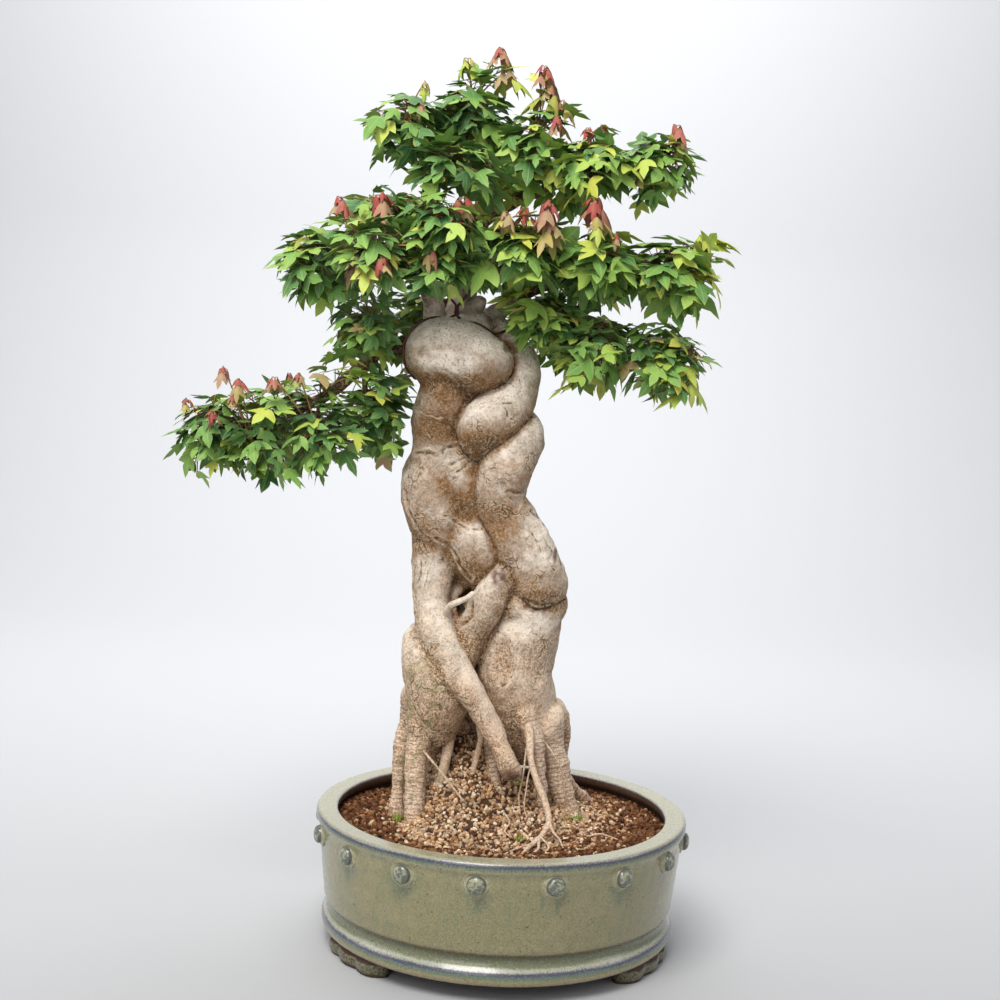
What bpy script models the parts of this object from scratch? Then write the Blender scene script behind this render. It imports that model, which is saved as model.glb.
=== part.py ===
"""Trident maple bonsai in a round drum pot.

Metres, +Z up. Lengths below are written in millimetres and turned into metres by MM.
Everything is placed round the pot's axis, which an empty holds. X runs to the right of the
tree's front and Y towards its back. The whole tree's middle stands over the origin.
"""
import math
import random

import bmesh
import bpy
from mathutils import Vector
from mathutils.bvhtree import BVHTree

MM = 0.001
POT_AXIS_AT = (78.0, -12.5)
GAP = 0.3

# Pot: heights above the table and radii
FOOT_HEIGHT = 16.0
RIM_HEIGHT = 134.0
RIM_RADIUS = 184.5
LIP_INNER = 163.0
FLOOR_TOP = 26.0
POT_SIDES = 36
STUD_COUNT = 16
STUD_RADIUS = 7.5
STUD_HEIGHT = 113.0
STUD_FIRST_ANGLE = -6.5
STUD_SEAT_RADIUS = 178.5
STUD_REACH = 8.2
STUD_SIDES = 8
FOOT_COUNT = 3
FOOT_FIRST_ANGLE = -57.0
FOOT_HALF_ANGLE = 17.0
FOOT_INNER_RADIUS = 146.0
FOOT_OUTER_RADIUS = 168.0
FOOT_STEPS = 8
FOOT_SWELL = 3.0
FOOT_DRAW_IN = 8.0
DRAIN_OFFSET = 70.0
DRAIN_RADIUS = 15.0
DRAIN_SIDES = 16
SCREEN_SIDE = 44.0
SCREEN_THICKNESS = 1.2
SCREEN_CELLS = 2
SCREEN_BAR = 3.0

POT_OUTLINE = [(0, FOOT_HEIGHT), (171, FOOT_HEIGHT), (175, 22), (175.4, 29), (170, 34.5), (169, 39),
               (173.5, 46.5), (181.6, 120), (RIM_RADIUS, 127), (RIM_RADIUS - 0.5, RIM_HEIGHT - 2),
               (RIM_RADIUS - 3.5, RIM_HEIGHT), (LIP_INNER + 2.5, RIM_HEIGHT), (LIP_INNER, RIM_HEIGHT - 3),
               (LIP_INNER + 0.5, 126), (172, 120), (164, 42), (157, FLOOR_TOP + 2.5), (148, FLOOR_TOP),
               (0, FLOOR_TOP)]

# Soil and the grit mound on it
SOIL_LEVEL = 116.0
SOIL_RELIEF = 2.2
SOIL_FLAT_MARGIN = 28.0
SOIL_SIDE_OUTLINE = [(0, FLOOR_TOP + GAP), (147.7, FLOOR_TOP + GAP), (156.5, FLOOR_TOP + 2.5 + GAP),
                     (163.4, 42), (170.8, SOIL_LEVEL - 4)]
SOIL_RINGS = [169.4, 155, 132, 95]
MOUND_CENTRE = (-5.0, 28.0)
MOUND_AXES = (112.0, 138.0)
MOUND_PEAK_SHIFT = (-7.0, 42.0)
MOUND_HEIGHT = 54.0
MOUND_EDGE = 2.0
MOUND_STEEPNESS = 1.5
MOUND_SIDES = 20
MOUND_RINGS = 4
MOUND_ROUGHNESS = 1.5
MOUND_FILL = 0.95

# Wood
BODY_VOXEL = 3.5
BODY_SMOOTHING = 5
BODY_TRIANGLES = 1700
BODY_SIDES = 14
BODY_STEPS = 5
LIMB_SIDES = 6
LIMB_STEPS = 1
ROOT_SIDES = 5
BRANCH_SIDES = 5
WIRE_RADIUS = 1.1
WIRE_SIDES = 4

# Leaves
LEAF_LENGTH = 28.0
LEAF_THICKNESS = 0.9
PETIOLE_HALF_WIDTH = 0.9
TWIG_RADIUS = 1.4
TWIG_SIDES = 4
PAIR_PLACES = (0.3, 0.6, 0.86)
SHOOT_PAIR_PLACES = (0.72,)
SHOOT_HALF_SIZES = (20, 20, 20)
PETIOLE_SHORTEST = 8.0
PETIOLE_LONGEST = 30.0

# Strands of the trunk as (x, y, z, radius), grown together into one body
STRANDS = {
    "head": [(-73, 22, 538, 22), (-80, 14, 560, 26), (-84, 6, 585, 31), (-63, 0, 586, 32),
             (-39, 4, 577, 29), (-24, 26, 572, 16)],
    "neck": [(-80, 32, 546, 28), (-81, 34, 517, 27), (-78, 36, 492, 27), (-76, 38, 467, 34)],
    "curl": [(-54, 62, 618, 20), (-26, 44, 602, 22), (-3, 32, 579, 20), (-4, 22, 549, 23),
             (-22, 8, 526, 27), (-36, 6, 510, 25), (-37, 22, 488, 16)],
    "right_upper": [(11, 36, 534, 12), (4, 22, 510, 22), (-9, 12, 482, 27), (-16, 10, 452, 25),
                    (-7, 14, 427, 24)],
    "right_lower": [(-7, 14, 432, 24), (7, 16, 402, 28), (21, 20, 374, 31), (27, 26, 351, 29)],
    "waist": [(10, 26, 340, 24), (32, 30, 336, 26)],
    "belly": [(-76, 40, 472, 32), (-78, 30, 445, 37), (-75, 30, 422, 36), (-68, 36, 401, 32)],
    "belly_right": [(-47, 34, 469, 20), (-41, 28, 439, 24), (-36, 32, 410, 24), (-29, 36, 386, 24),
                    (-30, 38, 365, 20)],
    "cut_root": [(-83, 34, 406, 22), (-79, 30, 371, 22), (-79, 24, 336, 21), (-72, 12, 308, 22),
                 (-56, -2, 276, 22), (-32, -12, 244, 20), (-11, -18, 211, 18), (4, -22, 182, 16),
                 (13, -24, 171, 13)],
    "diagonal": [(-4, 44, 378, 18), (-15, 24, 353, 20), (-26, 18, 333, 20), (-39, 20, 304, 19),
                 (-52, 26, 272, 18)],
    "right_leg": [(25, 34, 333, 30), (14, 40, 297, 37), (8, 40, 263, 39), (17, 44, 229, 37),
                  (29, 50, 193, 30)],
    "left_bulge": [(-86, 24, 295, 20), (-78, 18, 268, 28), (-69, 18, 241, 32), (-70, 20, 212, 26)],
    "core": [(-50, 40, 600, 28), (-42, 42, 540, 36), (-45, 44, 470, 38), (-42, 48, 410, 36),
             (-30, 52, 365, 32), (-20, 56, 330, 24)],
    "core_left": [(-58, 50, 330, 22), (-64, 52, 262, 26), (-64, 54, 218, 22)],
    "core_right": [(5, 55, 320, 28), (15, 62, 260, 30), (22, 64, 218, 26)],
    "back_rising_left": [(-75, 60, 598, 24), (-45, 78, 560, 27), (-14, 78, 515, 27),
                         (-10, 70, 465, 26), (-25, 80, 420, 28), (-52, 82, 375, 27),
                         (-68, 78, 330, 25), (-72, 80, 280, 27), (-66, 86, 222, 22)],
    "back_rising_right": [(-22, 62, 590, 22), (-48, 84, 512, 24), (-76, 70, 460, 27),
                          (-70, 76, 410, 27), (-30, 88, 365, 28), (10, 84, 325, 28),
                          (22, 86, 275, 28), (18, 90, 222, 24)],
    "back_middle": [(-22, 84, 330, 26), (-18, 90, 272, 22), (-20, 98, 212, 17), (-22, 112, 150, 11),
                    (-26, 138, 96, 9)],
}

# Exposed roots, thick enough to have grown into the trunk's body
ROOTS = {
    "left_outer": [(-94, 30, 236, 14), (-97, 34, 208, 11), (-104, 28, 182, 8.4), (-105, 20, 153, 7.4),
                   (-106, 10, 121, 7.4), (-106, 6, 84, 7)],
    "left_main": [(-78, 16, 232, 20), (-82, 14, 220, 17), (-85, 4, 187, 12), (-87, -8, 149, 10),
                  (-88, -18, 121, 10), (-88, -24, 84, 9)],
    "left_arch": [(-66, 26, 218, 20), (-54, 36, 210, 14), (-44, 48, 201, 9)],
    "left_back": [(-76, 84, 226, 20), (-86, 92, 190, 13), (-94, 106, 150, 10), (-100, 120, 92, 9)],
    "middle": [(-6, 60, 229, 13), (-13, 62, 192, 8), (-9, 56, 162, 7.4), (-7, 50, 126, 7.6),
               (-6, 50, 96, 7.4)],
    "right_main": [(41, 36, 216, 22), (51, 34, 180, 14), (60, 32, 150, 11.5), (69, 30, 120, 11.3),
                   (74, 30, 94, 10)],
    "right_side": [(53, 64, 219, 15), (61, 70, 195, 9.6), (60, 72, 171, 7.8), (68, 78, 143, 7.6),
                   (88, 92, 119, 7.6), (108, 104, 88, 7)],
    "right_front": [(21, 14, 225, 14), (30, 8, 201, 9.4), (36, 6, 176, 7.4), (41, 4, 139, 7),
                    (44, 2, 98, 7)],
    "right_back": [(22, 88, 228, 22), (36, 100, 194, 14), (50, 114, 150, 10), (64, 132, 94, 9)],
}

# Thin roots and stubs, joined on as round bars
THIN_ROOTS = {
    "green": [(-48, 40, 222, 7), (-46, 44, 208, 7), (-51, 42, 187, 6), (-58, 32, 162, 5),
              (-63, 24, 138, 4.2), (-66, 20, 112, 4.2)],
    "curled": [(-34, 24, 250, 5), (-27, 12, 216, 3.2), (-24, 10, 200, 3), (-26, 12, 186, 3),
               (-31, 14, 158, 3), (-32, 15, 134, 3)],
    "hanging": [(22, 8, 222, 5), (25, -2, 209, 4.6), (28, -16, 187, 3.5), (33, -28, 168, 3.4),
                (40, -40, 152, 3.4), (43, -54, 136, 3.1), (38, -72, 127, 2.9), (33, -86, 122, 2.4)],
    "straw": [(-94, 2, 201, 1.5), (-62, -12, 170, 1.3), (-33, -24, 138, 1.2)],
    "aerial": [(-70, 18, 325, 4), (-63, 8, 331, 4), (-55, 2, 337, 3.6), (-46, 1, 341, 3.4),
               (-38, 9, 346, 3.6), (-30, 24, 349, 4)],
}

# Limbs above the trunk, each (x, y, z, radius) from its root to its end
LIMBS = {
    "low_left": [(-84, 44, 580, 13), (-97, 40, 585, 11), (-122, 30, 590, 9), (-143, 18, 583, 8),
                 (-159, 6, 566, 7), (-186, -4, 541, 5.9), (-219, -8, 522, 4.8), (-250, -8, 513, 3.8)],
    "mid_left": [(-70, 46, 596, 14), (-87, 40, 615, 12), (-92, 36, 637, 10), (-104, 24, 658, 7),
                 (-129, 10, 671, 5.6), (-160, 0, 679, 4)],
    "leader": [(-60, 48, 590, 18), (-66, 50, 617, 15), (-61, 50, 641, 13), (-56, 52, 671, 9),
               (-47, 50, 705, 7.5), (-49, 46, 744, 6.2), (-62, 42, 780, 4.6)],
    "nub": [(-58, 42, 622, 10), (-51, 32, 629, 8.5), (-43, 22, 636, 7)],
    "upper_right": [(-50, 50, 696, 6), (-47, 50, 714, 6), (-17, 44, 736, 5.8), (17, 36, 752, 5),
                    (57, 28, 765, 4.2), (84, 22, 771, 3.6)],
    "mid_right": [(-45, 54, 592, 13), (-37, 52, 614, 11), (-12, 44, 641, 8), (23, 34, 658, 6.2),
                  (59, 20, 672, 4.8), (92, 8, 683, 3.8)],
    "low_right": [(-28, 54, 600, 10), (-10, 58, 615, 9), (21, 56, 627, 7), (59, 50, 626, 5.4),
                  (96, 40, 615, 4)],
    "front": [(-61, 52, 640, 8), (-59, 34, 652, 8), (-57, 8, 668, 6), (-57, -24, 682, 4.4)],
    "back": [(-56, 54, 652, 8.5), (-50, 66, 664, 8), (-45, 92, 686, 6), (-43, 116, 697, 4.4)],
    "back_low": [(-48, 60, 606, 10), (-44, 74, 622, 9), (-56, 100, 640, 6.4), (-72, 118, 642, 4.4)],
}

# Sprays: limb, share of the limb's length where it leaves, pad centre, pad half sizes
SPRAYS = {
    "low_left_tip": ("low_left", 1.0, (-295, -8, 501), (36, 50, 47)),
    "low_left_outer": ("low_left", 0.80, (-249, -22, 490), (36, 48, 44)),
    "low_left_back": ("low_left", 0.62, (-241, 75, 509), (50, 42, 39)),
    "low_left_mid": ("low_left", 0.66, (-189, -22, 500), (35, 46, 42)),
    "low_left_inner": ("low_left", 0.36, (-146, 34, 517), (28, 46, 42)),
    "shoulder_left": ("low_left", 0.26, (-146, -6, 612), (38, 44, 28)),
    "mid_left_outer": ("mid_left", 1.0, (-203, -5, 665), (40, 52, 43)),
    "mid_left_front": ("mid_left", 0.70, (-145, -65, 677), (39, 40, 35)),
    "mid_left_upper": ("mid_left", 0.76, (-142, 25, 722), (44, 48, 32)),
    "mid_left_back": ("mid_left", 0.58, (-171, 100, 669), (50, 45, 39)),
    "centre_front": ("front", 1.0, (-77, -66, 705), (36, 42, 34)),
    "centre_low": ("front", 0.72, (-84, -48, 648), (34, 38, 24)),
    "top_left": ("leader", 0.90, (-123, 30, 804), (38, 52, 45)),
    "top_mid": ("leader", 1.0, (-60, 40, 820), (38, 50, 42)),
    "top_front": ("leader", 0.80, (-74, -45, 758), (45, 42, 30)),
    "top_back": ("leader", 0.84, (-72, 115, 807), (52, 45, 44)),
    "upper_right_inner": ("upper_right", 0.40, (-2, 16, 786), (41, 50, 37)),
    "upper_right_mid": ("upper_right", 0.66, (60, 4, 774), (36, 48, 33)),
    "upper_right_tip": ("upper_right", 1.0, (120, 15, 777), (34, 45, 33)),
    "upper_right_back": ("upper_right", 0.52, (32, 105, 774), (54, 45, 37)),
    "mid_right_inner": ("mid_right", 0.42, (-5, -42, 687), (38, 44, 36)),
    "mid_right_mid": ("mid_right", 0.66, (63, -16, 678), (38, 48, 31)),
    "mid_right_outer": ("mid_right", 1.0, (135, 0, 672), (36, 50, 38)),
    "mid_right_back": ("mid_right", 0.62, (68, 110, 678), (59, 46, 42)),
    "low_right_inner": ("low_right", 0.34, (24, 8, 622), (34, 42, 32)),
    "low_right_mid": ("low_right", 0.72, (69, 12, 594), (36, 48, 42)),
    "low_right_outer": ("low_right", 1.0, (134, 24, 590), (40, 50, 42)),
    "low_right_back": ("low_right", 0.54, (53, 120, 605), (55, 42, 40)),
    "back_mid": ("back", 1.0, (-48, 162, 692), (52, 42, 43)),
    "back_low": ("back_low", 1.0, (-101, 146, 630), (47, 40, 36)),
}

# Long shoots that stand out of their pads, as the places of their ends
SHOOTS = {
    "top_mid": [(-38, 30, 872)],
    "upper_right_inner": [(12, 12, 850)],
    "upper_right_tip": [(145, 16, 812)],
    "mid_right_outer": [(160, -2, 703), (150, -24, 634)],
    "low_right_outer": [(166, 4, 560)],
    "low_left_tip": [(-319, -14, 472)],
    "mid_left_outer": [(-234, -10, 648)],
    "top_left": [(-130, 24, 846)],
}

# The wire's way round the head of the trunk, from its knot and back to it, laid on the bark
WIRE_ROUTE = [(-74, 26, 628), (-92, 10, 618), (-112, 2, 605), (-118, 8, 584), (-106, 18, 561),
              (-104, 50, 556), (-84, 90, 566), (-40, 108, 580), (2, 90, 592), (12, 58, 606),
              (-10, 22, 612), (-36, 6, 611), (-56, 12, 618), (-72, 24, 627)]
WIRE_KNOT = (-73, 22, 630)
WIRE_TAILS = [[(-73, 22, 630), (-79, 14, 641), (-92, 4, 654)],
              [(-73, 22, 630), (-69, 14, 642), (-60, 8, 655)]]


def vec(values):
    """A point written in millimetres, in metres."""
    return Vector(values[:3]) * MM


def clear_scene():
    for item in list(bpy.data.objects):
        bpy.data.objects.remove(item, do_unlink=True)


def finish(name, colour, roughness):
    material = bpy.data.materials.new(name)
    material.use_nodes = True
    shader = material.node_tree.nodes["Principled BSDF"]
    shader.inputs["Base Color"].default_value = (*colour, 1.0)
    shader.inputs["Roughness"].default_value = roughness
    shader.inputs["Metallic"].default_value = 0.0
    return material


def solid_object(name, solid, material=None):
    """An object from a solid, which is a pair: its points in metres and its faces."""
    mesh = bpy.data.meshes.new(name)
    mesh.from_pydata([tuple(point) for point in solid[0]], [], solid[1])
    mesh.validate()
    shape = bmesh.new()
    shape.from_mesh(mesh)
    bmesh.ops.recalc_face_normals(shape, faces=shape.faces)
    shape.to_mesh(mesh)
    shape.free()
    item = bpy.data.objects.new(name, mesh)
    bpy.context.scene.collection.objects.link(item)
    if material:
        mesh.materials.append(material)
    return item


def bake_modifiers(item):
    """Keep what the object's modifiers make as its own mesh."""
    bpy.context.view_layer.update()
    graph = bpy.context.evaluated_depsgraph_get()
    mesh = bpy.data.meshes.new_from_object(item.evaluated_get(graph))
    item.modifiers.clear()
    item.data = mesh


def keep_largest_body(item):
    """Drop loose scraps, so that one closed body is left."""
    shape = bmesh.new()
    shape.from_mesh(item.data)
    unseen = set(shape.verts)
    bodies = []
    while unseen:
        body = {unseen.pop()}
        edge_of_body = list(body)
        while edge_of_body:
            for edge in edge_of_body.pop().link_edges:
                for vertex in edge.verts:
                    if vertex in unseen:
                        unseen.remove(vertex)
                        body.add(vertex)
                        edge_of_body.append(vertex)
        bodies.append(body)
    bodies.sort(key=len, reverse=True)
    scraps = [vertex for body in bodies[1:] for vertex in body]
    bmesh.ops.delete(shape, geom=scraps, context="VERTS")
    bmesh.ops.triangulate(shape, faces=shape.faces)
    shape.to_mesh(item.data)
    shape.free()


def fuse(host, pieces, solver="EXACT"):
    """Join pieces to their host with one union, and drop them."""
    group = bpy.data.collections.new(host.name + "_pieces")
    bpy.context.scene.collection.children.link(group)
    for piece in pieces:
        group.objects.link(piece)
    union = host.modifiers.new("union", "BOOLEAN")
    union.operation = "UNION"
    union.operand_type = "COLLECTION"
    union.collection = group
    union.solver = solver
    bake_modifiers(host)
    for piece in pieces:
        bpy.data.objects.remove(piece, do_unlink=True)
    bpy.data.collections.remove(group)


def cut(host, cutters, solver="EXACT"):
    """Take each cutter out of the host, and drop it."""
    for cutter in cutters:
        difference = host.modifiers.new("cut", "BOOLEAN")
        difference.operation = "DIFFERENCE"
        difference.object = cutter
        difference.solver = solver
    bake_modifiers(host)
    for cutter in cutters:
        bpy.data.objects.remove(cutter, do_unlink=True)


def smooth_path(points, per_span):
    """A smooth curve through (x, y, z, radius) points, as (centre, radius) pairs in metres."""
    rows = [Vector(point) * MM for point in points]
    ends = [2 * rows[0] - rows[1]] + rows + [2 * rows[-1] - rows[-2]]
    path = []
    for first, second, third, fourth in zip(ends, ends[1:], ends[2:], ends[3:]):
        for step in range(per_span):
            t = step / per_span
            row = 0.5 * (2 * second + (third - first) * t
                         + (2 * first - 5 * second + 4 * third - fourth) * t ** 2
                         + (3 * second - first - 3 * third + fourth) * t ** 3)
            path.append(row)
    path.append(rows[-1])
    return [(row.to_3d(), max(row[3], 0.8 * MM)) for row in path]


def rounded(path):
    """The same path with its two ends drawn in to round noses."""
    (start, first_radius), (second, _) = path[0], path[1]
    (end, last_radius), (before, _) = path[-1], path[-2]
    back, out = (start - second).normalized(), (end - before).normalized()
    nose = [(math.sin(angle), math.cos(angle)) for angle in (1.3, 0.95, 0.5)]
    head = [(start + back * first_radius * reach, first_radius * width) for reach, width in nose]
    tail = [(end + out * last_radius * reach, last_radius * width) for reach, width in reversed(nose)]
    return head + path + tail


def tube(path, sides):
    """A closed bar round a path of (centre, radius), with flat ends."""
    centres = [centre for centre, _ in path]
    last = len(path) - 1
    across = (centres[1] - centres[0]).orthogonal().normalized()
    points = []
    for index, (centre, radius) in enumerate(path):
        along = (centres[min(index + 1, last)] - centres[max(index - 1, 0)]).normalized()
        across = (across - along * across.dot(along)).normalized()
        third = along.cross(across)
        for side in range(sides):
            angle = 2 * math.pi * side / sides
            points.append(centre + radius * (math.cos(angle) * across + math.sin(angle) * third))
    faces = []
    for ring in range(last):
        for side in range(sides):
            near, far = ring * sides + side, ring * sides + (side + 1) % sides
            faces.append((near, far, far + sides, near + sides))
    faces.append(tuple(reversed(range(sides))))
    faces.append(tuple(range(last * sides, (last + 1) * sides)))
    return points, faces


def joined(solids):
    """Several solids as one list of points and faces."""
    points, faces = [], []
    for more_points, more_faces in solids:
        shift = len(points)
        points.extend(more_points)
        faces.extend(tuple(index + shift for index in face) for face in more_faces)
    return points, faces


def turned(outline, sides, turn=0.0):
    """A solid of revolution from (radius, height) points, which start and end on the axis."""
    points = [Vector((0, 0, outline[0][1])) * MM]
    for radius, height in outline[1:-1]:
        for side in range(sides):
            angle = 2 * math.pi * side / sides + turn
            points.append(Vector((radius * math.cos(angle), radius * math.sin(angle), height)) * MM)
    points.append(Vector((0, 0, outline[-1][1])) * MM)
    rings = len(outline) - 2
    faces = []
    for side in range(sides):
        after = (side + 1) % sides
        faces.append((0, 1 + after, 1 + side))
        for ring in range(rings - 1):
            near = 1 + ring * sides
            faces.append((near + side, near + after, near + sides + after, near + sides + side))
        near = 1 + (rings - 1) * sides
        faces.append((near + side, near + after, len(points) - 1))
    return points, faces


def upright_cylinder(centre, radius, low, high, sides):
    solid = turned([(0, low), (radius, low), (radius, high), (0, high)], sides, math.pi / sides)
    return [point + vec((centre[0], centre[1], 0)) for point in solid[0]], solid[1]


def block(centre, size):
    """A box from its centre and its three sides."""
    points = [Vector((centre[0] + x * size[0] / 2, centre[1] + y * size[1] / 2,
                      centre[2] + z * size[2] / 2)) * MM
              for x in (-1, 1) for y in (-1, 1) for z in (-1, 1)]
    faces = [(0, 1, 3, 2), (4, 6, 7, 5), (0, 4, 5, 1), (2, 3, 7, 6), (0, 2, 6, 4), (1, 5, 7, 3)]
    return points, faces


def round_place(angle_degrees, radius, height=0.0):
    """A place on the pot, its angle counted from the front and to the right."""
    angle = math.radians(angle_degrees)
    return Vector((radius * math.sin(angle), -radius * math.cos(angle), height))


def stud(angle_degrees):
    """One round stud: a low disc with a dome on it, its axis square to the wall."""
    out = round_place(angle_degrees, 1.0)
    across = Vector((-out.y, out.x, 0))
    up = Vector((0, 0, 1))
    seat = round_place(angle_degrees, STUD_SEAT_RADIUS, STUD_HEIGHT)
    rings = [(STUD_RADIUS + 1.8, 0.0), (STUD_RADIUS + 1.8, 3.4), (STUD_RADIUS - 1.2, 4.4)]
    sides = STUD_SIDES
    points = [seat + out * reach + radius * (math.cos(turn) * across + math.sin(turn) * up)
              for radius, reach in rings
              for turn in (2 * math.pi * side / sides for side in range(sides))]
    points.append(seat + out * STUD_REACH)
    faces = [tuple(range(sides))]
    for ring in range(len(rings) - 1):
        for side in range(sides):
            near, far = ring * sides + side, ring * sides + (side + 1) % sides
            faces.append((near, far, far + sides, near + sides))
    last = (len(rings) - 1) * sides
    faces.extend((last + side, last + (side + 1) % sides, len(points) - 1) for side in range(sides))
    return [point * MM for point in points], faces


def foot(angle_degrees):
    """One cloud-shaped foot: a curved block whose outer face swells in three lobes."""
    columns = []
    for step in range(FOOT_STEPS + 1):
        share = 2 * step / FOOT_STEPS - 1
        angle = angle_degrees + share * FOOT_HALF_ANGLE
        swell = FOOT_SWELL * abs(math.cos(1.5 * math.pi * share))
        draw_in = FOOT_DRAW_IN * share ** 6
        outer = FOOT_OUTER_RADIUS + swell - draw_in
        inner = FOOT_INNER_RADIUS + draw_in
        columns.append([round_place(angle, inner, 0), round_place(angle, outer, 0),
                        round_place(angle, outer + FOOT_SWELL, FOOT_HEIGHT * 0.55),
                        round_place(angle, outer - 1.0, FOOT_HEIGHT + 2),
                        round_place(angle, inner, FOOT_HEIGHT + 2)])
    width = len(columns[0])
    points = [point * MM for column in columns for point in column]
    faces = [tuple(range(width)), tuple(reversed(range(FOOT_STEPS * width, (FOOT_STEPS + 1) * width)))]
    for step in range(FOOT_STEPS):
        for row in range(width):
            near, far = step * width + row, step * width + (row + 1) % width
            faces.append((near, far, far + width, near + width))
    return points, faces


def make_pot():
    """Drum pot: turned body, studs and feet stuck on, two drain holes."""
    glaze = finish("celadon_glaze", (0.27, 0.29, 0.2), 0.25)
    pot = solid_object("pot", turned(POT_OUTLINE, POT_SIDES), glaze)
    pieces = []
    for count in range(STUD_COUNT):
        pieces.append(solid_object("stud", stud(STUD_FIRST_ANGLE + count * 360 / STUD_COUNT)))
    for count in range(FOOT_COUNT):
        pieces.append(solid_object("foot", foot(FOOT_FIRST_ANGLE + count * 360 / FOOT_COUNT)))
    fuse(pot, pieces)
    low, high = FOOT_HEIGHT - 8, FLOOR_TOP + 8
    drains = [upright_cylinder((side * DRAIN_OFFSET, 0), DRAIN_RADIUS, low, high, DRAIN_SIDES)
              for side in (-1, 1)]
    cut(pot, [solid_object("drain", drain) for drain in drains])
    keep_largest_body(pot)


def make_screens():
    """Square plastic mesh over each drain hole, laid on the pot's floor."""
    plastic = finish("screen_plastic", (0.03, 0.03, 0.03), 0.5)
    pitch = (SCREEN_SIDE - SCREEN_BAR) / SCREEN_CELLS
    middle = FLOOR_TOP + GAP + SCREEN_THICKNESS / 2
    for name, side in (("drain_screen_left", -1), ("drain_screen_right", 1)):
        plate = block((side * DRAIN_OFFSET, 0, middle), (SCREEN_SIDE, SCREEN_SIDE, SCREEN_THICKNESS))
        screen = solid_object(name, plate, plastic)
        cells = []
        for row in range(SCREEN_CELLS):
            for column in range(SCREEN_CELLS):
                x = side * DRAIN_OFFSET + (column - (SCREEN_CELLS - 1) / 2) * pitch
                y = (row - (SCREEN_CELLS - 1) / 2) * pitch
                cell = block((x, y, middle), (pitch - SCREEN_BAR, pitch - SCREEN_BAR, 5 * SCREEN_THICKNESS))
                cells.append(solid_object("cell", cell))
        cut(screen, cells)
        keep_largest_body(screen)


def in_mound(x, y, margin=0.0):
    """How far out a place lies in the mound's oval, 1 at its edge."""
    return math.hypot((x - MOUND_CENTRE[0]) / (MOUND_AXES[0] + margin),
                      (y - MOUND_CENTRE[1]) / (MOUND_AXES[1] + margin))


def make_soil(grown_wood):
    """Brown granules that fill the pot: crumbled on top, flat where the grit mound lies."""
    draw = random.Random(11)
    surface = [(radius, SOIL_LEVEL) for radius in SOIL_RINGS + [0]]
    points, faces = turned(SOIL_SIDE_OUTLINE + surface, POT_SIDES)
    for point in points:
        x, y = point.x / MM, point.y / MM
        if point.z / MM > SOIL_LEVEL - 1 and in_mound(x, y, SOIL_FLAT_MARGIN) > 1:
            point.z += (draw.uniform(0.1, 1.0) * SOIL_RELIEF) * MM
    soil = solid_object("soil", (points, faces), finish("fired_clay_granules", (0.14, 0.07, 0.04), 0.95))
    pocket = (SCREEN_SIDE + 2 * GAP, SCREEN_SIDE + 2 * GAP, 2 * (SCREEN_THICKNESS - 0.1 + GAP))
    pockets = [block((side * DRAIN_OFFSET, 0, FLOOR_TOP + 1), pocket) for side in (-1, 1)]
    cut(soil, [solid_object("pocket", solid) for solid in pockets])
    cut(soil, [grown_wood])
    keep_largest_body(soil)


def make_gravel(grown_wood):
    """The mound of pale grit, heaped under the exposed roots."""
    draw = random.Random(23)
    base = SOIL_LEVEL + GAP
    points = []
    for ring in range(MOUND_RINGS + 1):
        share = 1 - ring / MOUND_RINGS
        height = base + MOUND_EDGE + MOUND_HEIGHT * (1 - share) ** MOUND_STEEPNESS
        count = MOUND_SIDES if ring < MOUND_RINGS else 1
        for side in range(count):
            angle = 2 * math.pi * side / MOUND_SIDES
            wobble = 1 + 0.05 * math.sin(3 * angle + 1) + 0.03 * math.sin(7 * angle)
            x = MOUND_CENTRE[0] + share * wobble * MOUND_AXES[0] * math.cos(angle) * MOUND_FILL
            y = MOUND_CENTRE[1] + share * wobble * MOUND_AXES[1] * math.sin(angle) * MOUND_FILL
            rough = draw.uniform(-MOUND_ROUGHNESS, MOUND_ROUGHNESS) if ring else 0
            x += (1 - share) * MOUND_PEAK_SHIFT[0]
            y += (1 - share) * MOUND_PEAK_SHIFT[1]
            points.append(Vector((x, y, height + rough)) * MM)
    top = len(points) - 1
    faces = []
    for ring in range(MOUND_RINGS - 1):
        for side in range(MOUND_SIDES):
            near, far = ring * MOUND_SIDES + side, ring * MOUND_SIDES + (side + 1) % MOUND_SIDES
            faces.append((near, far, far + MOUND_SIDES, near + MOUND_SIDES))
    last = (MOUND_RINGS - 1) * MOUND_SIDES
    faces.extend((last + side, last + (side + 1) % MOUND_SIDES, top) for side in range(MOUND_SIDES))
    under = len(points)
    points.extend(Vector((points[side].x, points[side].y, base * MM)) for side in range(MOUND_SIDES))
    for side in range(MOUND_SIDES):
        after = (side + 1) % MOUND_SIDES
        faces.append((under + side, under + after, after, side))
    faces.append(tuple(reversed(range(under, under + MOUND_SIDES))))
    gravel = solid_object("gravel_dressing", (points, faces), finish("mixed_grit", (0.46, 0.36, 0.25), 0.9))
    cut(gravel, [grown_wood])
    keep_largest_body(gravel)


def limb_place(limb, share):
    """The point, direction and radius at a share of a limb's length."""
    path = smooth_path(LIMBS[limb], LIMB_STEPS)
    lengths = [0.0]
    for (first, _), (second, _) in zip(path, path[1:]):
        lengths.append(lengths[-1] + (second - first).length)
    reach = share * lengths[-1]
    index = next((number for number, length in enumerate(lengths[1:], 1) if length >= reach), len(path) - 1)
    (before, wide), (after, narrow) = path[index - 1], path[index]
    part = (reach - lengths[index - 1]) / (lengths[index] - lengths[index - 1])
    return before.lerp(after, part), (after - before).normalized(), wide + (narrow - wide) * part


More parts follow.
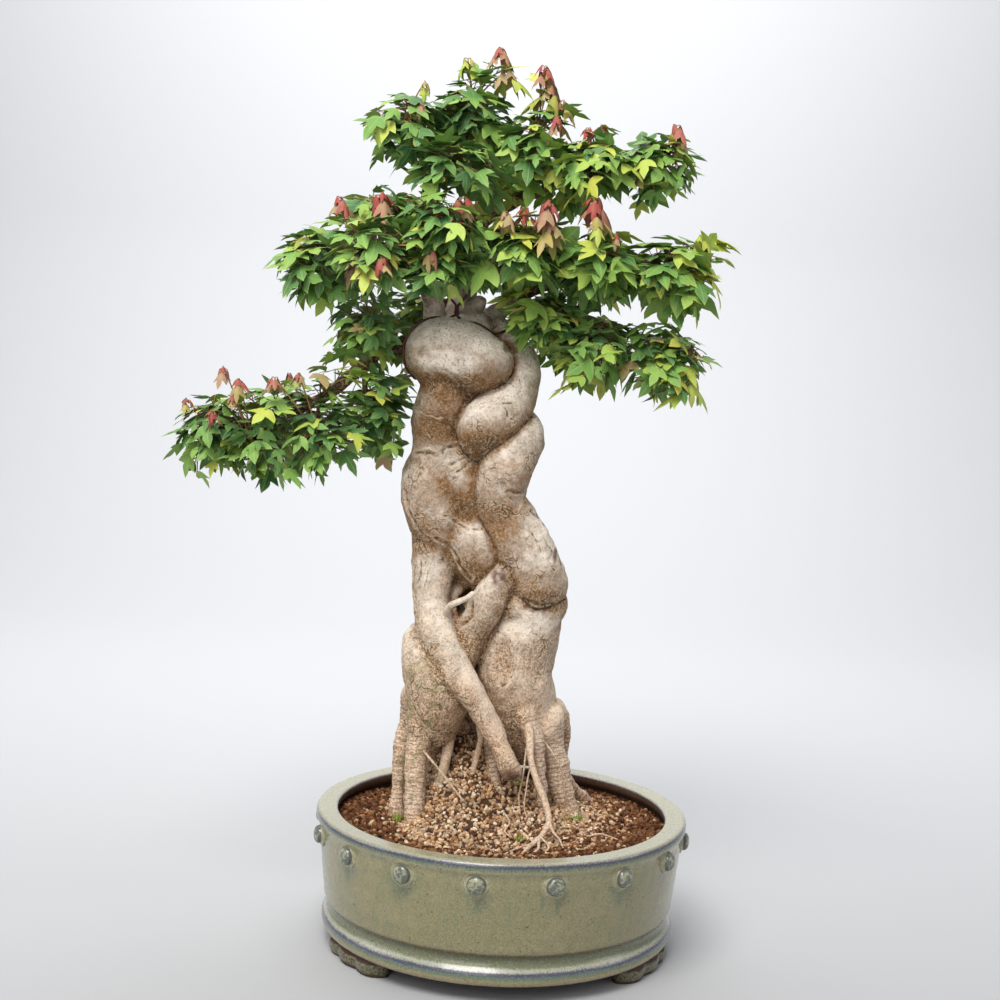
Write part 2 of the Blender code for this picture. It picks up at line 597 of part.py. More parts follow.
def side_branch(spray):
    """The wood from a limb to where a spray begins: its path, or just the limb's end."""
    limb, share, centre, _ = SPRAYS[spray]
    start, along, radius = limb_place(limb, share)
    if share == 1.0:
        return None, start, along, radius
    middle = vec(centre)
    way = middle - start
    reach = min(max(0.5 * way.length, 16 * MM), 58 * MM)
    bend = start + (along + way.normalized()).normalized() * reach * 0.45
    end = start + way.normalized() * reach
    width = min(radius * 0.7, 3.4 * MM)
    path = [(start, width), (bend, width * 0.94), (end, max(width * 0.8, 2.2 * MM))]
    return path, end, (end - bend).normalized(), path[-1][1]


def make_trunk():
    """Strands and roots grown into one body, with thin roots, limbs and branches joined on."""
    shells = [tube(rounded(smooth_path(points, BODY_STEPS)), BODY_SIDES) for points in STRANDS.values()]
    shells += [tube(rounded(smooth_path(points, BODY_STEPS)), BODY_SIDES) for points in ROOTS.values()]
    trunk = solid_object("trunk", joined(shells), finish("bark", (0.42, 0.33, 0.24), 0.8))
    remesh = trunk.modifiers.new("grown_together", "REMESH")
    remesh.mode = "VOXEL"
    remesh.voxel_size = BODY_VOXEL * MM
    smooth = trunk.modifiers.new("rounded_over", "SMOOTH")
    smooth.factor = 0.5
    smooth.iterations = BODY_SMOOTHING
    bake_modifiers(trunk)
    keep_largest_body(trunk)
    fewer = trunk.modifiers.new("fewer_faces", "DECIMATE")
    fewer.ratio = BODY_TRIANGLES / len(trunk.data.polygons)
    bake_modifiers(trunk)
    bars = [tube(rounded(smooth_path(points, 1)), ROOT_SIDES) for points in THIN_ROOTS.values()]
    bars += [tube(smooth_path(points, LIMB_STEPS), LIMB_SIDES) for points in LIMBS.values()]
    bars += [tube(path, BRANCH_SIDES) for path in (side_branch(spray)[0] for spray in SPRAYS) if path]
    fuse(trunk, [solid_object("bar", bar) for bar in bars])
    keep_largest_body(trunk)
    trunk.data.materials.clear()
    trunk.data.materials.append(bpy.data.materials["bark"])
    return trunk


def grown_copy(item, margin):
    """A copy of an object that stands out of it by a margin all round."""
    shape = bmesh.new()
    shape.from_mesh(item.data)
    shape.normal_update()
    outward = [vertex.co + vertex.normal * margin * MM * min(vertex.calc_shell_factor(), 2.5)
               for vertex in shape.verts]
    solid = outward, [tuple(vertex.index for vertex in face.verts) for face in shape.faces]
    shape.free()
    return solid_object(item.name + "_grown", solid)


def tree_of(item):
    """A search tree of an object's faces, in the pot's frame."""
    return BVHTree.FromPolygons([vertex.co for vertex in item.data.vertices],
                                [tuple(face.vertices) for face in item.data.polygons])


def laid_on(tree, point, clearance):
    """The nearest place to a point that lies a clearance off the bark."""
    place, normal, _, _ = tree.find_nearest(point)
    out = (point - place)
    if out.dot(normal) <= 0 or out.length < 1e-6:
        out = normal
    return place + out.normalized() * clearance


def height_over(tree, point):
    """How far a point lies off the bark, below zero inside it."""
    place, normal, _, distance = tree.find_nearest(point)
    return distance if (point - place).dot(normal) > 0 else -distance


def laid_route(tree, places, clearance):
    """A route laid on the bark, with more points where a straight stretch would cut into it."""
    laid = [laid_on(tree, place, clearance) for place in places]
    for _ in range(4):
        finer = [laid[0]]
        for first, second in zip(laid, laid[1:]):
            middle = (first + second) / 2
            lowest = min(height_over(tree, first.lerp(second, share)) for share in (0.25, 0.5, 0.75))
            if lowest < 0.8 * clearance:
                finer.append(laid_on(tree, middle, clearance))
            finer.append(second)
        laid = finer
    return laid


def make_wire(bark):
    """Coated guy wire: once round the head of the trunk, knotted, with two short tails."""
    clearance = (WIRE_RADIUS * 1.2 + GAP + 0.4) * MM
    places = [centre for centre, _ in smooth_path([(*point, WIRE_RADIUS) for point in WIRE_ROUTE], 1)]
    route = laid_route(bark, places, clearance)
    knot = laid_on(bark, vec(WIRE_KNOT), clearance + 1.4 * MM)
    places = [knot] + route[1:-1] + [knot + Vector((0.8, -0.8, 0.8)) * MM]
    loop = [(place, WIRE_RADIUS * MM) for place in places]
    wire = solid_object("guy_wire", tube(loop, WIRE_SIDES), finish("coated_wire", (0.05, 0.02, 0.015), 0.5))
    pieces = [solid_object("knot", tube([(knot - Vector((0, 0, 3 * MM)), 2 * MM),
                                         (knot + Vector((0, 0, 4 * MM)), 1.8 * MM)], 5))]
    for tail in WIRE_TAILS:
        way = [(vec(point) - vec(WIRE_KNOT) + knot, WIRE_RADIUS * MM) for point in tail]
        pieces.append(solid_object("tail", tube(way, WIRE_SIDES)))
    fuse(wire, pieces)
    keep_largest_body(wire)
    return wire


def blade_outline(base, along, up, length):
    """A three-lobed blade: seven outline points from its right base round the tip to its left base."""
    side = along.cross(up).normalized()
    droop = side.cross(along) * 0.13 * length
    right = [base + side * 0.05 * length,
             base + side * 0.52 * length + along * 0.56 * length - droop,
             base + side * 0.17 * length + along * 0.52 * length]
    left = [base - side * 0.05 * length,
            base - side * 0.52 * length + along * 0.56 * length - droop,
            base - side * 0.17 * length + along * 0.52 * length]
    return right + [base + along * length - droop] + left[::-1]


def leaf_points(base, along, up, length):
    """The blade's points: the seven of its upper face, then the seven of its lower face."""
    outline = blade_outline(base, along, up, length)
    side = along.cross(up).normalized()
    lift = side.cross(along) * 0.5 * LEAF_THICKNESS * MM
    return [point + lift for point in outline] + [point - lift for point in outline]


def leaf_faces(first, seat):
    """Faces of a leaf whose points start at first, its stalk drawn out of the four corners of seat.

    The seat's corners run from the upper right to the lower right, lower left and upper left.
    """
    upper = [(0, 1, 2), (0, 2, 3), (0, 3, 6), (6, 3, 4), (6, 4, 5)]
    faces = [tuple(first + index for index in corner) for corner in upper]
    faces += [tuple(first + 7 + index for index in reversed(corner)) for corner in upper]
    for index in range(6):
        faces.append((first + index + 7, first + index + 8, first + index + 1, first + index))
    stalk_end = (first, first + 7, first + 13, first + 6)
    for index in range(4):
        after = (index + 1) % 4
        faces.append((seat[index], seat[after], stalk_end[after], stalk_end[index]))
    return faces


def nearest_turn(seat, points, stalk_end):
    """The seat's corners, turned so that the stalk drawn from them twists least."""
    turns = [seat[step:] + seat[:step] for step in range(4)]
    middle = sum((points[index] for index in seat), Vector()) / 4
    end_middle = sum(stalk_end, Vector()) / 4
    return min(turns, key=lambda turn: sum(((points[index] - middle).normalized()
                                            - (corner - end_middle).normalized()).length
                                           for index, corner in zip(turn, stalk_end)))


def station_path(path, places):
    """A twig's path with a short stretch for the stalks at each place, which is a share of it."""
    lengths = [0.0]
    for (first, _), (second, _) in zip(path, path[1:]):
        lengths.append(lengths[-1] + (second - first).length)

    def at(reach):
        later = (number for number, length in enumerate(lengths[1:], 1) if length >= reach)
        index = next(later, len(path) - 1)
        share = (reach - lengths[index - 1]) / (lengths[index] - lengths[index - 1])
        return (path[index - 1][0].lerp(path[index][0], share),
                path[index - 1][1] * (1 - share) + path[index][1] * share)

    half = PETIOLE_HALF_WIDTH * MM
    reaches = [0.0]
    for place in places:
        reaches += [place * lengths[-1] - half, place * lengths[-1] + half]
    return [at(reach) for reach in reaches + [lengths[-1]]]


class Clearances:
    """What is already there, so that a new leaf or twig is grown only where there is room."""

    def __init__(self, fixed):
        self.fixed = fixed
        self.grown = []

    def free(self, solid, owner):
        """True where a solid touches no wood, nothing of another spray, and no blade of its own."""
        tree = BVHTree.FromPolygons(*solid)
        centre = sum(solid[0], Vector()) / len(solid[0])
        reach = max((point - centre).length for point in solid[0])
        if any(tree.overlap(other) for other in self.fixed):
            return False
        for middle, size, other, other_owner, is_stem in self.grown:
            if (middle - centre).length > size + reach or (is_stem and other_owner == owner):
                continue
            if tree.overlap(other):
                return False
        return True

    def add(self, solid, owner, is_stem):
        centre = sum(solid[0], Vector()) / len(solid[0])
        reach = max((point - centre).length for point in solid[0])
        self.grown.append((centre, reach, BVHTree.FromPolygons(*solid), owner, is_stem))


def thicker(solid, margin):
    """The same solid with its points pushed out, to test it with room round it."""
    item = bmesh.new()
    corners = [item.verts.new(point) for point in solid[0]]
    for face in solid[1]:
        item.faces.new([corners[index] for index in face])
    bmesh.ops.recalc_face_normals(item, faces=item.faces)
    item.normal_update()
    points = [corner.co + corner.normal * margin * MM for corner in corners]
    item.free()
    return points, solid[1]


def main_twig(name):
    """The path of a spray's first twig, on the line of the wood that it grows from."""
    _, _, centre, half_sizes = SPRAYS[name]
    _, start, along, radius = side_branch(name)
    middle = vec(centre)
    way = (middle - start).normalized()
    far = middle + way * min(half_sizes) * 0.45 * MM
    width = min(radius * 0.9, 2.2 * MM)
    stem = start + along * GAP * MM
    reach = (far - stem).length
    knee = stem + along * 0.42 * reach
    return [(stem, width), (knee, width * 0.85), (far, TWIG_RADIUS * MM)]


def stalk_length(root, out, middle, half_sizes, blade):
    """How long a stalk brings the blade's tip to the pad's edge."""
    reach = 0.0
    while reach < 90 and sum(((root + out * reach * MM - middle)[axis] / (half_sizes[axis] * MM)) ** 2
                             for axis in range(3)) < 1:
        reach += 3
    return min(max(reach - 0.85 * blade, PETIOLE_SHORTEST), PETIOLE_LONGEST)


def grow_leaf(draw, out, root, middle, half_sizes, along_twig):
    """One leaf's blade points, near the direction out from the twig."""
    loose = Vector(draw.uniform(-0.45, 0.45) for _ in range(3))
    out = (out + loose + 0.35 * along_twig).normalized()
    blade = LEAF_LENGTH * draw.uniform(0.9, 1.14)
    stalk = stalk_length(root, out, middle, half_sizes, blade) * draw.uniform(0.85, 1.0)
    base = root + out * stalk * MM
    droop = draw.uniform(0.05, 0.75)
    level = Vector((out.x, out.y, 0))
    level = level.normalized() if level.length > 0.25 else along_twig
    along = (level * math.cos(droop) - Vector((0, 0, math.sin(droop))) + 0.7 * out).normalized()
    up = Vector((draw.uniform(-0.3, 0.3), draw.uniform(-0.3, 0.3), 1)) + 0.4 * level
    if abs(along.dot(up.normalized())) > 0.9:
        return None
    side = along.cross(up).normalized()
    if out.dot(along) < 0.35 or abs(out.dot(side.cross(along))) > 0.75:
        return None
    return leaf_points(base, along, up, blade * MM)


def leafy_twig(path, places, name, room, seed, middle, half_sizes):
    """A twig with pairs of leaves at its places and one at its end, in one closed solid.

    Each stalk is drawn out of a face of the twig, so nothing has to be joined afterwards.
    """
    draw = random.Random(seed)
    stations = station_path(path, places)
    points, faces = tube(stations, TWIG_SIDES)
    last = len(stations) - 1
    along_end = (stations[-1][0] - stations[-2][0]).normalized()
    seats = [(tuple(range(last * TWIG_SIDES, (last + 1) * TWIG_SIDES)), along_end)]
    for number in range(len(places)):
        ring = (2 * number + 1) * TWIG_SIDES
        for side in (number % 2, number % 2 + 2):
            after = (side + 1) % TWIG_SIDES
            face = (ring + side, ring + after, ring + TWIG_SIDES + after, ring + TWIG_SIDES + side)
            centre = sum((points[index] for index in face), Vector()) / 4
            axis = (stations[2 * number + 1][0] + stations[2 * number + 2][0]) / 2
            seats.append((face, (centre - axis).normalized()))
    for face, out in seats:
        root = sum((points[index] for index in face), Vector()) / 4
        for _ in range(40):
            blade = grow_leaf(draw, out, root, middle, half_sizes, along_end)
            if not blade:
                continue
            stalk_end = (blade[0], blade[7], blade[13], blade[6])
            seat = nearest_turn(face, points, stalk_end)
            blade_faces = leaf_faces(4, (0, 1, 2, 3))
            test = thicker(([points[index] for index in seat] + blade, blade_faces + [(3, 2, 1, 0)]), 0.4)
            if room.free(test, name):
                room.add(test, name, False)
                faces.remove(face)
                faces += leaf_faces(len(points), seat)
                points += blade
                break
    return points, faces


def make_sprays(wood):
    """All the leafy sprays, each one solid that is clear of the wood and of the other sprays."""
    greens = [finish("leaf_green", (0.08, 0.17, 0.03), 0.5), finish("young_leaf", (0.2, 0.26, 0.06), 0.5)]
    room = Clearances([tree_of(item) for item in wood])
    twigs = {name: main_twig(name) for name in SPRAYS}
    for name, path in twigs.items():
        room.add(thicker(tube(path, TWIG_SIDES), 0.5), name, True)
    for number, (name, (_, _, centre, half_sizes)) in enumerate(SPRAYS.items()):
        path = twigs[name]
        middle = vec(centre)
        solid = leafy_twig(path, PAIR_PLACES, name, room, 100 + number, middle, half_sizes)
        spray = solid_object("spray_" + name, solid, greens[name in SHOOTS])
        shoots = []
        for count, place in enumerate(SHOOTS.get(name, [])):
            end = vec(place)
            root = min((centre for centre, _ in path[1:]), key=lambda at: (at - end).length)
            bend = (root + end) / 2 + Vector((0, 0, 4 * MM))
            way = [(root, TWIG_RADIUS * MM), (bend, TWIG_RADIUS * MM), (end, TWIG_RADIUS * 0.9 * MM)]
            room.add(thicker(tube(way, TWIG_SIDES), 0.5), name, True)
            seed = 500 + 10 * number + count
            solid = leafy_twig(way, SHOOT_PAIR_PLACES, name, room, seed, end, SHOOT_HALF_SIZES)
            shoots.append(solid_object("shoot", solid))
        if shoots:
            fuse(spray, shoots, "MANIFOLD")
        keep_largest_body(spray)


def build():
    clear_scene()
    make_pot()
    make_screens()
    trunk = make_trunk()
    make_soil(grown_copy(trunk, GAP + 0.1))
    make_gravel(grown_copy(trunk, GAP + 0.1))
    wire = make_wire(tree_of(trunk))
    make_sprays([trunk, wire])
    axis = bpy.data.objects.new("pot_axis", None)
    axis.location = (POT_AXIS_AT[0] * MM, POT_AXIS_AT[1] * MM, 0)
    for item in bpy.data.objects:
        if item.type == "MESH":
            item.parent = axis
    bpy.context.scene.collection.objects.link(axis)


build()
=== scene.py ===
"""Looks of a trident maple bonsai in a round drum pot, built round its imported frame.

Shapes are worked out in millimetres round the pot's own axis, X to the right of the tree's
front and Y towards its back, and are put into the frame's metres when a mesh is made.
"""

import math

import bpy
import numpy as np
from mathutils import Matrix, Vector
from mathutils.bvhtree import BVHTree


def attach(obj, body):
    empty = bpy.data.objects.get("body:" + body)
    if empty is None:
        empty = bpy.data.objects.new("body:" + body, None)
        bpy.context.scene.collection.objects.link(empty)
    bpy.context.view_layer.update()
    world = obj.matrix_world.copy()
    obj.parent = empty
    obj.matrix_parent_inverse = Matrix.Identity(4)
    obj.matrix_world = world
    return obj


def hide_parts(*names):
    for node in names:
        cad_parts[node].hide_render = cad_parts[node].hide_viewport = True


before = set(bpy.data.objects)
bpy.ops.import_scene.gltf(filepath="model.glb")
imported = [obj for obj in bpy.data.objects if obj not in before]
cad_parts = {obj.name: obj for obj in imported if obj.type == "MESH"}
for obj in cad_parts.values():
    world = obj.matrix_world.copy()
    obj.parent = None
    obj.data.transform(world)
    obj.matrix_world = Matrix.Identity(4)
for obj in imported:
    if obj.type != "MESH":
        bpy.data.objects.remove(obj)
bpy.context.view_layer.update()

# Pot. One piece of stoneware, thrown as a drum with a rolled lip and a moulded band at its base,
# under an olive celadon glaze that breaks to blue on its edges. Two drain holes in its floor.
POT_AXIS = np.array([78.0, -12.5, 0.0])
POT_SIDES = 180
SOIL_LEVEL = 116.0
DRAIN_OFFSET = 70.0
DRAIN_RADIUS = 15.0
DRILL_BOTTOM = 4
DRILL_TOP = 40
POT_OUTLINE = [(0, 16), (120, 16), (164, 16), (171, 16), (174, 18.5), (175.6, 22), (176, 26), (175, 29.5),
               (172.5, 32), (170.4, 34.5), (169.2, 38), (169.4, 41), (171.4, 44), (173.6, 47),
               (174.6, 54), (176.4, 70), (178.2, 88), (180, 106), (181.4, 117), (182.2, 121),
               (183.6, 124), (184.5, 127), (184.6, 129.5), (184, 132), (182.3, 133.7), (180, 134),
               (174, 133.7), (167, 133.6), (164.6, 133.2), (163.2, 131.5), (163.1, 128), (164, 125),
               (167.5, 122), (171.5, 119), (170.6, 110), (167.5, 78), (164, 42), (161, 32), (157, 28.2),
               (150, 26.3), (120, 26), (0, 26)]


def shaped(name, points, face_sets, smooth=True):
    """A mesh object from points in millimetres round the pot's axis, its faces turned outwards.

    The sign comes from the volume, the sum over triangles of the corners' triple product: below zero,
    every face is turned round.
    """
    triangles = np.vstack([part[:, [0, step, step + 1]]
                           for part in face_sets for step in range(1, part.shape[1] - 1)])
    corners = points[triangles] - points.mean(0)
    volume = np.einsum("ij,ij->i", corners[:, 0], np.cross(corners[:, 1], corners[:, 2])).sum()
    order = slice(None) if volume > 0 else slice(None, None, -1)
    mesh = bpy.data.meshes.new(name)
    mesh.from_pydata(((points + POT_AXIS) * 0.001).tolist(), [],
                     [face for part in face_sets for face in part[:, order].tolist()])
    mesh.polygons.foreach_set("use_smooth", np.full(len(mesh.polygons), smooth))
    mesh.update()
    item = bpy.data.objects.new(name, mesh)
    bpy.context.scene.collection.objects.link(item)
    return item


def ring_faces(rings, sides):
    """Faces between neighbouring rings of a grid, then fans to the two pole points that follow it."""
    ring, side = np.meshgrid(np.arange(rings - 1), np.arange(sides), indexing="ij")
    near, far = ring * sides + side, ring * sides + (side + 1) % sides
    quads = np.stack([near, far, far + sides, near + sides], -1).reshape(-1, 4)
    turn = np.arange(sides)
    last = (rings - 1) * sides
    first_fan = np.stack([(turn + 1) % sides, turn, np.full(sides, rings * sides)], -1)
    last_fan = np.stack([last + turn, last + (turn + 1) % sides, np.full(sides, rings * sides + 1)], -1)
    return [quads, np.vstack([first_fan, last_fan])]


def turned(outline, sides, ripple=None):
    """Surface of revolution: each (radius, height) goes once round the axis, poles at both ends.

    ripple is added to the radius and takes the grids of angle and height.
    """
    outline = np.asarray(outline, float)
    angle = np.linspace(0, 2 * np.pi, sides, endpoint=False)
    height, turn = np.meshgrid(outline[1:-1, 1], angle, indexing="ij")
    radius = np.repeat(outline[1:-1, :1], sides, axis=1)
    if ripple:
        radius = radius + ripple(turn, height)
    grid = np.stack([radius * np.sin(turn), -radius * np.cos(turn), height], -1).reshape(-1, 3)
    poles = np.array([[0, 0, outline[0, 1]], [0, 0, outline[-1, 1]]])
    return np.vstack([grid, poles]), ring_faces(len(outline) - 2, sides)


def rounded_outline(outline, rounds):
    """Corners cut, a number of times: every edge keeps its points at a quarter and at three quarters."""
    line = np.asarray(outline, float)
    for _ in range(rounds):
        quarter = line[:-1] * 0.75 + line[1:] * 0.25
        three = line[:-1] * 0.25 + line[1:] * 0.75
        line = np.vstack([line[:1], np.stack([quarter, three], 1).reshape(-1, 2), line[-1:]])
    return line


class Socket:
    """One output in a finish. Sums and products of it add Math nodes."""

    def __init__(self, finish, link):
        self.finish = finish
        self.link = link

    def maths(self, operation, first, second):
        """A Math node on two values or outputs."""
        return self.finish.node("ShaderNodeMath", {"operation": operation}, {0: first, 1: second})

    def __add__(self, other):
        return self.maths("ADD", self, other)

    def __sub__(self, other):
        return self.maths("SUBTRACT", self, other)

    def __rsub__(self, other):
        return self.maths("SUBTRACT", other, self)

    def __mul__(self, other):
        return self.maths("MULTIPLY", self, other)

    def __truediv__(self, other):
        return self.maths("DIVIDE", self, other)

    def __pow__(self, other):
        return self.maths("POWER", self, other)

    __radd__ = __add__
    __rmul__ = __mul__


class Finish:
    """A material: one Principled surface, constant values on it, and the nodes that feed it."""

    def __init__(self, name, **values):
        self.material = bpy.data.materials.new(name)
        self.material.use_nodes = True
        self.tree = self.material.node_tree
        self.surface = self.tree.nodes["Principled BSDF"]
        for socket, value in values.items():
            self.surface.inputs[socket.replace("_", " ")].default_value = value

    def node(self, kind, settings, sockets, output=0):
        """A node of a kind: its settings first, then a value or a link on each named socket."""
        made = self.tree.nodes.new(kind)
        for setting, value in settings.items():
            if setting == "stops":
                ramp = made.color_ramp
                while len(ramp.elements) < len(value):
                    ramp.elements.new(0.5)
                for element, (place, colour) in zip(ramp.elements, value):
                    element.position = place
                    element.color = (*colour, 1.0)
            else:
                setattr(made, setting, value)
        for socket, value in sockets.items():
            if isinstance(value, Socket):
                self.tree.links.new(value.link, made.inputs[socket])
            elif isinstance(value, tuple) and len(value) == 3 and made.inputs[socket].type == "RGBA":
                made.inputs[socket].default_value = (*value, 1.0)
            else:
                made.inputs[socket].default_value = value
        return Socket(self, made.outputs[output])

    def feed(self, socket, value):
        """An output linked to a socket of the surface."""
        self.tree.links.new(value.link, self.surface.inputs[socket])

    def ease(self, value, low, high):
        """0 below low, 1 above high, and a smooth S between."""
        return self.node("ShaderNodeMapRange", {"interpolation_type": "SMOOTHSTEP"},
                         {0: value, 1: low, 2: high})

    def mix(self, share, first, second):
        """Two colours mixed. The node's sockets 6 and 7 and its output 2 are the ones for colours."""
        return self.node("ShaderNodeMix", {"data_type": "RGBA"}, {0: share, 6: first, 7: second}, 2)

    def carried(self, name):
        """A value that the mesh carries on its points."""
        return self.node("ShaderNodeAttribute", {"attribute_name": name}, {}, 2)

    def ramp(self, value, stops):
        """Colours at their places from 0 to 1."""
        return self.node("ShaderNodeValToRGB", {"stops": stops}, {0: value})

    def function(self, operation, value):
        """A Math node on one value, such as its sine."""
        return self.node("ShaderNodeMath", {"operation": operation}, {0: value})

    def grain(self, place, size, detail=2.0, rough=0.5):
        """Noise whose cells are about size millimetres across."""
        return self.node("ShaderNodeTexNoise", {}, {"Vector": place, "Scale": 1.0 / size, "Detail": detail,
                                                    "Roughness": rough})

    def relief(self, height, depth):
        """Bump from a height from 0 to 1 that stands for depth millimetres."""
        bump = self.node("ShaderNodeBump", {},
                         {"Height": height, "Distance": depth * 0.001, "Strength": 1.0})
        self.feed("Normal", bump)

    def place(self):
        """Object coordinates in millimetres round the pot's axis, as one vector and as x, y and z."""
        raw = self.node("ShaderNodeTexCoord", {}, {}, 3)
        spot = self.node("ShaderNodeMapping", {},
                         {"Vector": raw, "Location": tuple(-POT_AXIS), "Scale": (1000.0,) * 3})
        split = self.node("ShaderNodeSeparateXYZ", {}, {"Vector": spot})
        return spot, [Socket(self, split.link.node.outputs[axis]) for axis in range(3)]


# Height at the end of the glaze's ramp, and its colours by height, in millimetres. The pale stops at
# 30.8 and 32.4 lie on the base band's upward slope: glaze thin over the edge, and partly a painted
# highlight.
GLAZE_SPAN = 140.0
GLAZE_BANDS = [
    (14.0, (0.10, 0.055, 0.035)), (17.0, (0.16, 0.105, 0.06)), (18.5, (0.34, 0.275, 0.15)),
    (22.0, (0.34, 0.29, 0.155)), (24.5, (0.16, 0.20, 0.125)), (27.0, (0.085, 0.135, 0.125)),
    (28.4, (0.05, 0.062, 0.12)), (29.8, (0.085, 0.065, 0.13)), (30.8, (0.33, 0.35, 0.28)),
    (32.4, (0.40, 0.42, 0.33)), (34.2, (0.175, 0.19, 0.118)), (38.0, (0.14, 0.158, 0.09)),
    (43.0, (0.105, 0.125, 0.07)), (44.8, (0.095, 0.06, 0.03)), (46.3, (0.135, 0.086, 0.045)),
    (47.6, (0.265, 0.235, 0.125)), (60.0, (0.262, 0.238, 0.122)), (112.0, (0.27, 0.247, 0.128)),
    (121.0, (0.31, 0.288, 0.16)), (125.2, (0.33, 0.31, 0.18)), (127.6, (0.155, 0.19, 0.13)),
    (129.3, (0.075, 0.105, 0.105)), (130.6, (0.038, 0.045, 0.078)), (131.8, (0.09, 0.085, 0.15)),
    (132.6, (0.27, 0.27, 0.25)), (133.2, (0.34, 0.335, 0.23)), (134.0, (0.37, 0.36, 0.245))]
# The wall's radius behind the studs; how many there are, the angle of the first and their height.
WALL_RADIUS = 180.0
STUD_COUNT = 16
STUD_FIRST = -6.5
STUD_HEIGHT = 113.0


def celadon(name):
    """Olive glaze: colours by height in one ramp, since it runs thin on every edge and pools under it; its
    pale band on the base band's upper slope is partly a painted highlight.

    Round each stud lies a pale ring and a blue-green smudge, by the distance over the wall to the nearest
    of the studs, which is found from the part of a step that the angle is past one. The inner wall and
    the underside are left as bare clay.
    """
    glaze = Finish(name, Coat_Roughness=0.07)
    spot, (x, y, z) = glaze.place()
    radius = (x * x + y * y) ** 0.5

    # Bands of colour by height, their edges ragged, and the wall's runs and clouds.
    cloud = glaze.grain(spot, 30.0, 4.0, 0.6)
    tall_spot = glaze.node("ShaderNodeMapping", {}, {"Vector": spot, "Scale": (1.0, 1.0, 0.12)})
    fringe = glaze.grain(tall_spot, 1.6, 2.0)
    run_spot = glaze.node("ShaderNodeMapping", {}, {"Vector": spot, "Scale": (1.0, 1.0, 0.3)})
    streak = glaze.grain(run_spot, 7.0, 3.0)
    speck = glaze.grain(spot, 1.5, 2.0, 0.6)
    level = z + (fringe - 0.5) * 3.2 + (cloud - 0.5) * 2.0
    stops = [(height / GLAZE_SPAN, colour) for height, colour in GLAZE_BANDS]
    body = glaze.ramp(level / GLAZE_SPAN, stops)
    wall = glaze.ease(z, 46.5, 50.0) * (1 - glaze.ease(z, 122.0, 127.0))
    body = glaze.mix(wall * glaze.ease(streak, 0.42, 0.7) * 0.55, body, (0.185, 0.205, 0.112))
    body = glaze.mix(wall * glaze.ease(cloud, 0.5, 0.72) * 0.45, body, (0.335, 0.28, 0.155))

    # Round the studs: the smudge reaches further down than up, so its oval lies lower.
    turn = glaze.node("ShaderNodeMath", {"operation": "ARCTAN2"}, {0: x, 1: 0.0 - y})
    step = 2 * math.pi / STUD_COUNT
    past = glaze.function("FRACT", (turn - math.radians(STUD_FIRST)) / step + 8.5)
    across = (past - 0.5) * step * WALL_RADIUS
    reach = (across * across + (z - STUD_HEIGHT) * (z - STUD_HEIGHT)) ** 0.5
    low_reach = (across * across + (z - STUD_HEIGHT + 9.0) * (z - STUD_HEIGHT + 9.0) * 0.5) ** 0.5
    smudge = (1 - glaze.ease(low_reach + (cloud - 0.5) * 16.0, 7.0, 17.0)) * glaze.ease(streak, 0.3, 0.6)
    body = glaze.mix(smudge * wall * 0.62, body, (0.095, 0.155, 0.11))
    ring = glaze.ease(reach, 10.0, 11.0) * (1 - glaze.ease(reach, 12.8, 14.4))
    body = glaze.mix(ring * 0.6, body, (0.38, 0.365, 0.225))

    # Specks, and the clay where there is no glaze.
    body = glaze.mix(glaze.ease(speck, 0.52, 0.64) * 0.22, body, (0.50, 0.46, 0.30))
    body = glaze.mix(glaze.ease(speck, 0.48, 0.38) * 0.42, body, (0.14, 0.125, 0.07))
    fleck = glaze.ease(glaze.grain(spot, 2.6, 1.0), 0.69, 0.74)
    body = glaze.mix(fleck * 0.75, body, (0.05, 0.04, 0.02))
    bare_bowl = (1 - glaze.ease(radius, 164.4, 165.2)) * (1 - glaze.ease(z, 131.0, 132.4))
    bare_wall = 1 - glaze.ease(radius, 173.5, 174.5)
    bare_neck = bare_wall * glaze.ease(z, 80.0, 84.0) * (1 - glaze.ease(z, 124.0, 126.0))
    inside = 1 - (1 - bare_bowl) * (1 - bare_neck) * glaze.ease(z, 15.8, 17.0)
    clay = glaze.mix(glaze.ease(speck, 0.4, 0.6), (0.045, 0.022, 0.014), (0.10, 0.055, 0.032))
    body = glaze.mix(inside, body, clay)
    glaze.feed("Base Color", body)
    glaze.feed("Roughness", 0.2 + inside * 0.5 + cloud * 0.14)
    glaze.feed("Coat Weight", 0.4 - inside * 0.4)
    glaze.relief(cloud * 0.4 + speck * 0.14 + streak * 0.25, 0.45)
    return glaze.material


def throwing_marks(turn, height):
    """What the wheel leaves on the wall: three faint waves round it and fine rings up it."""
    return 0.25 * np.sin(3 * turn + height / 40) + 0.12 * np.sin(height / 2.4)


glaze_finish = celadon("olive_celadon_glaze")
pot_points, pot_faces = turned(rounded_outline(POT_OUTLINE, 2), POT_SIDES, throwing_marks)
pot_body = shaped("pot_body", pot_points, pot_faces)
for side in (-1, 1):
    shaft, shaft_faces = turned([(0, DRILL_BOTTOM), (DRAIN_RADIUS, DRILL_BOTTOM),
                                 (DRAIN_RADIUS, DRILL_TOP), (0, DRILL_TOP)], 40)
    drain_tool = shaped("drain_tool", shaft + np.array([side * DRAIN_OFFSET, 0, 0]), shaft_faces)
    drill = pot_body.modifiers.new("drain", "BOOLEAN")
    drill.operation = "DIFFERENCE"
    drill.object = drain_tool
    bpy.context.view_layer.update()
    drilled = bpy.data.meshes.new_from_object(pot_body.evaluated_get(bpy.context.evaluated_depsgraph_get()))
    pot_body.modifiers.clear()
    pot_body.data = drilled
    bpy.data.objects.remove(drain_tool, do_unlink=True)
pot_body.data.materials.clear()
pot_body.data.materials.append(glaze_finish)
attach(pot_body, "root")
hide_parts("pot")

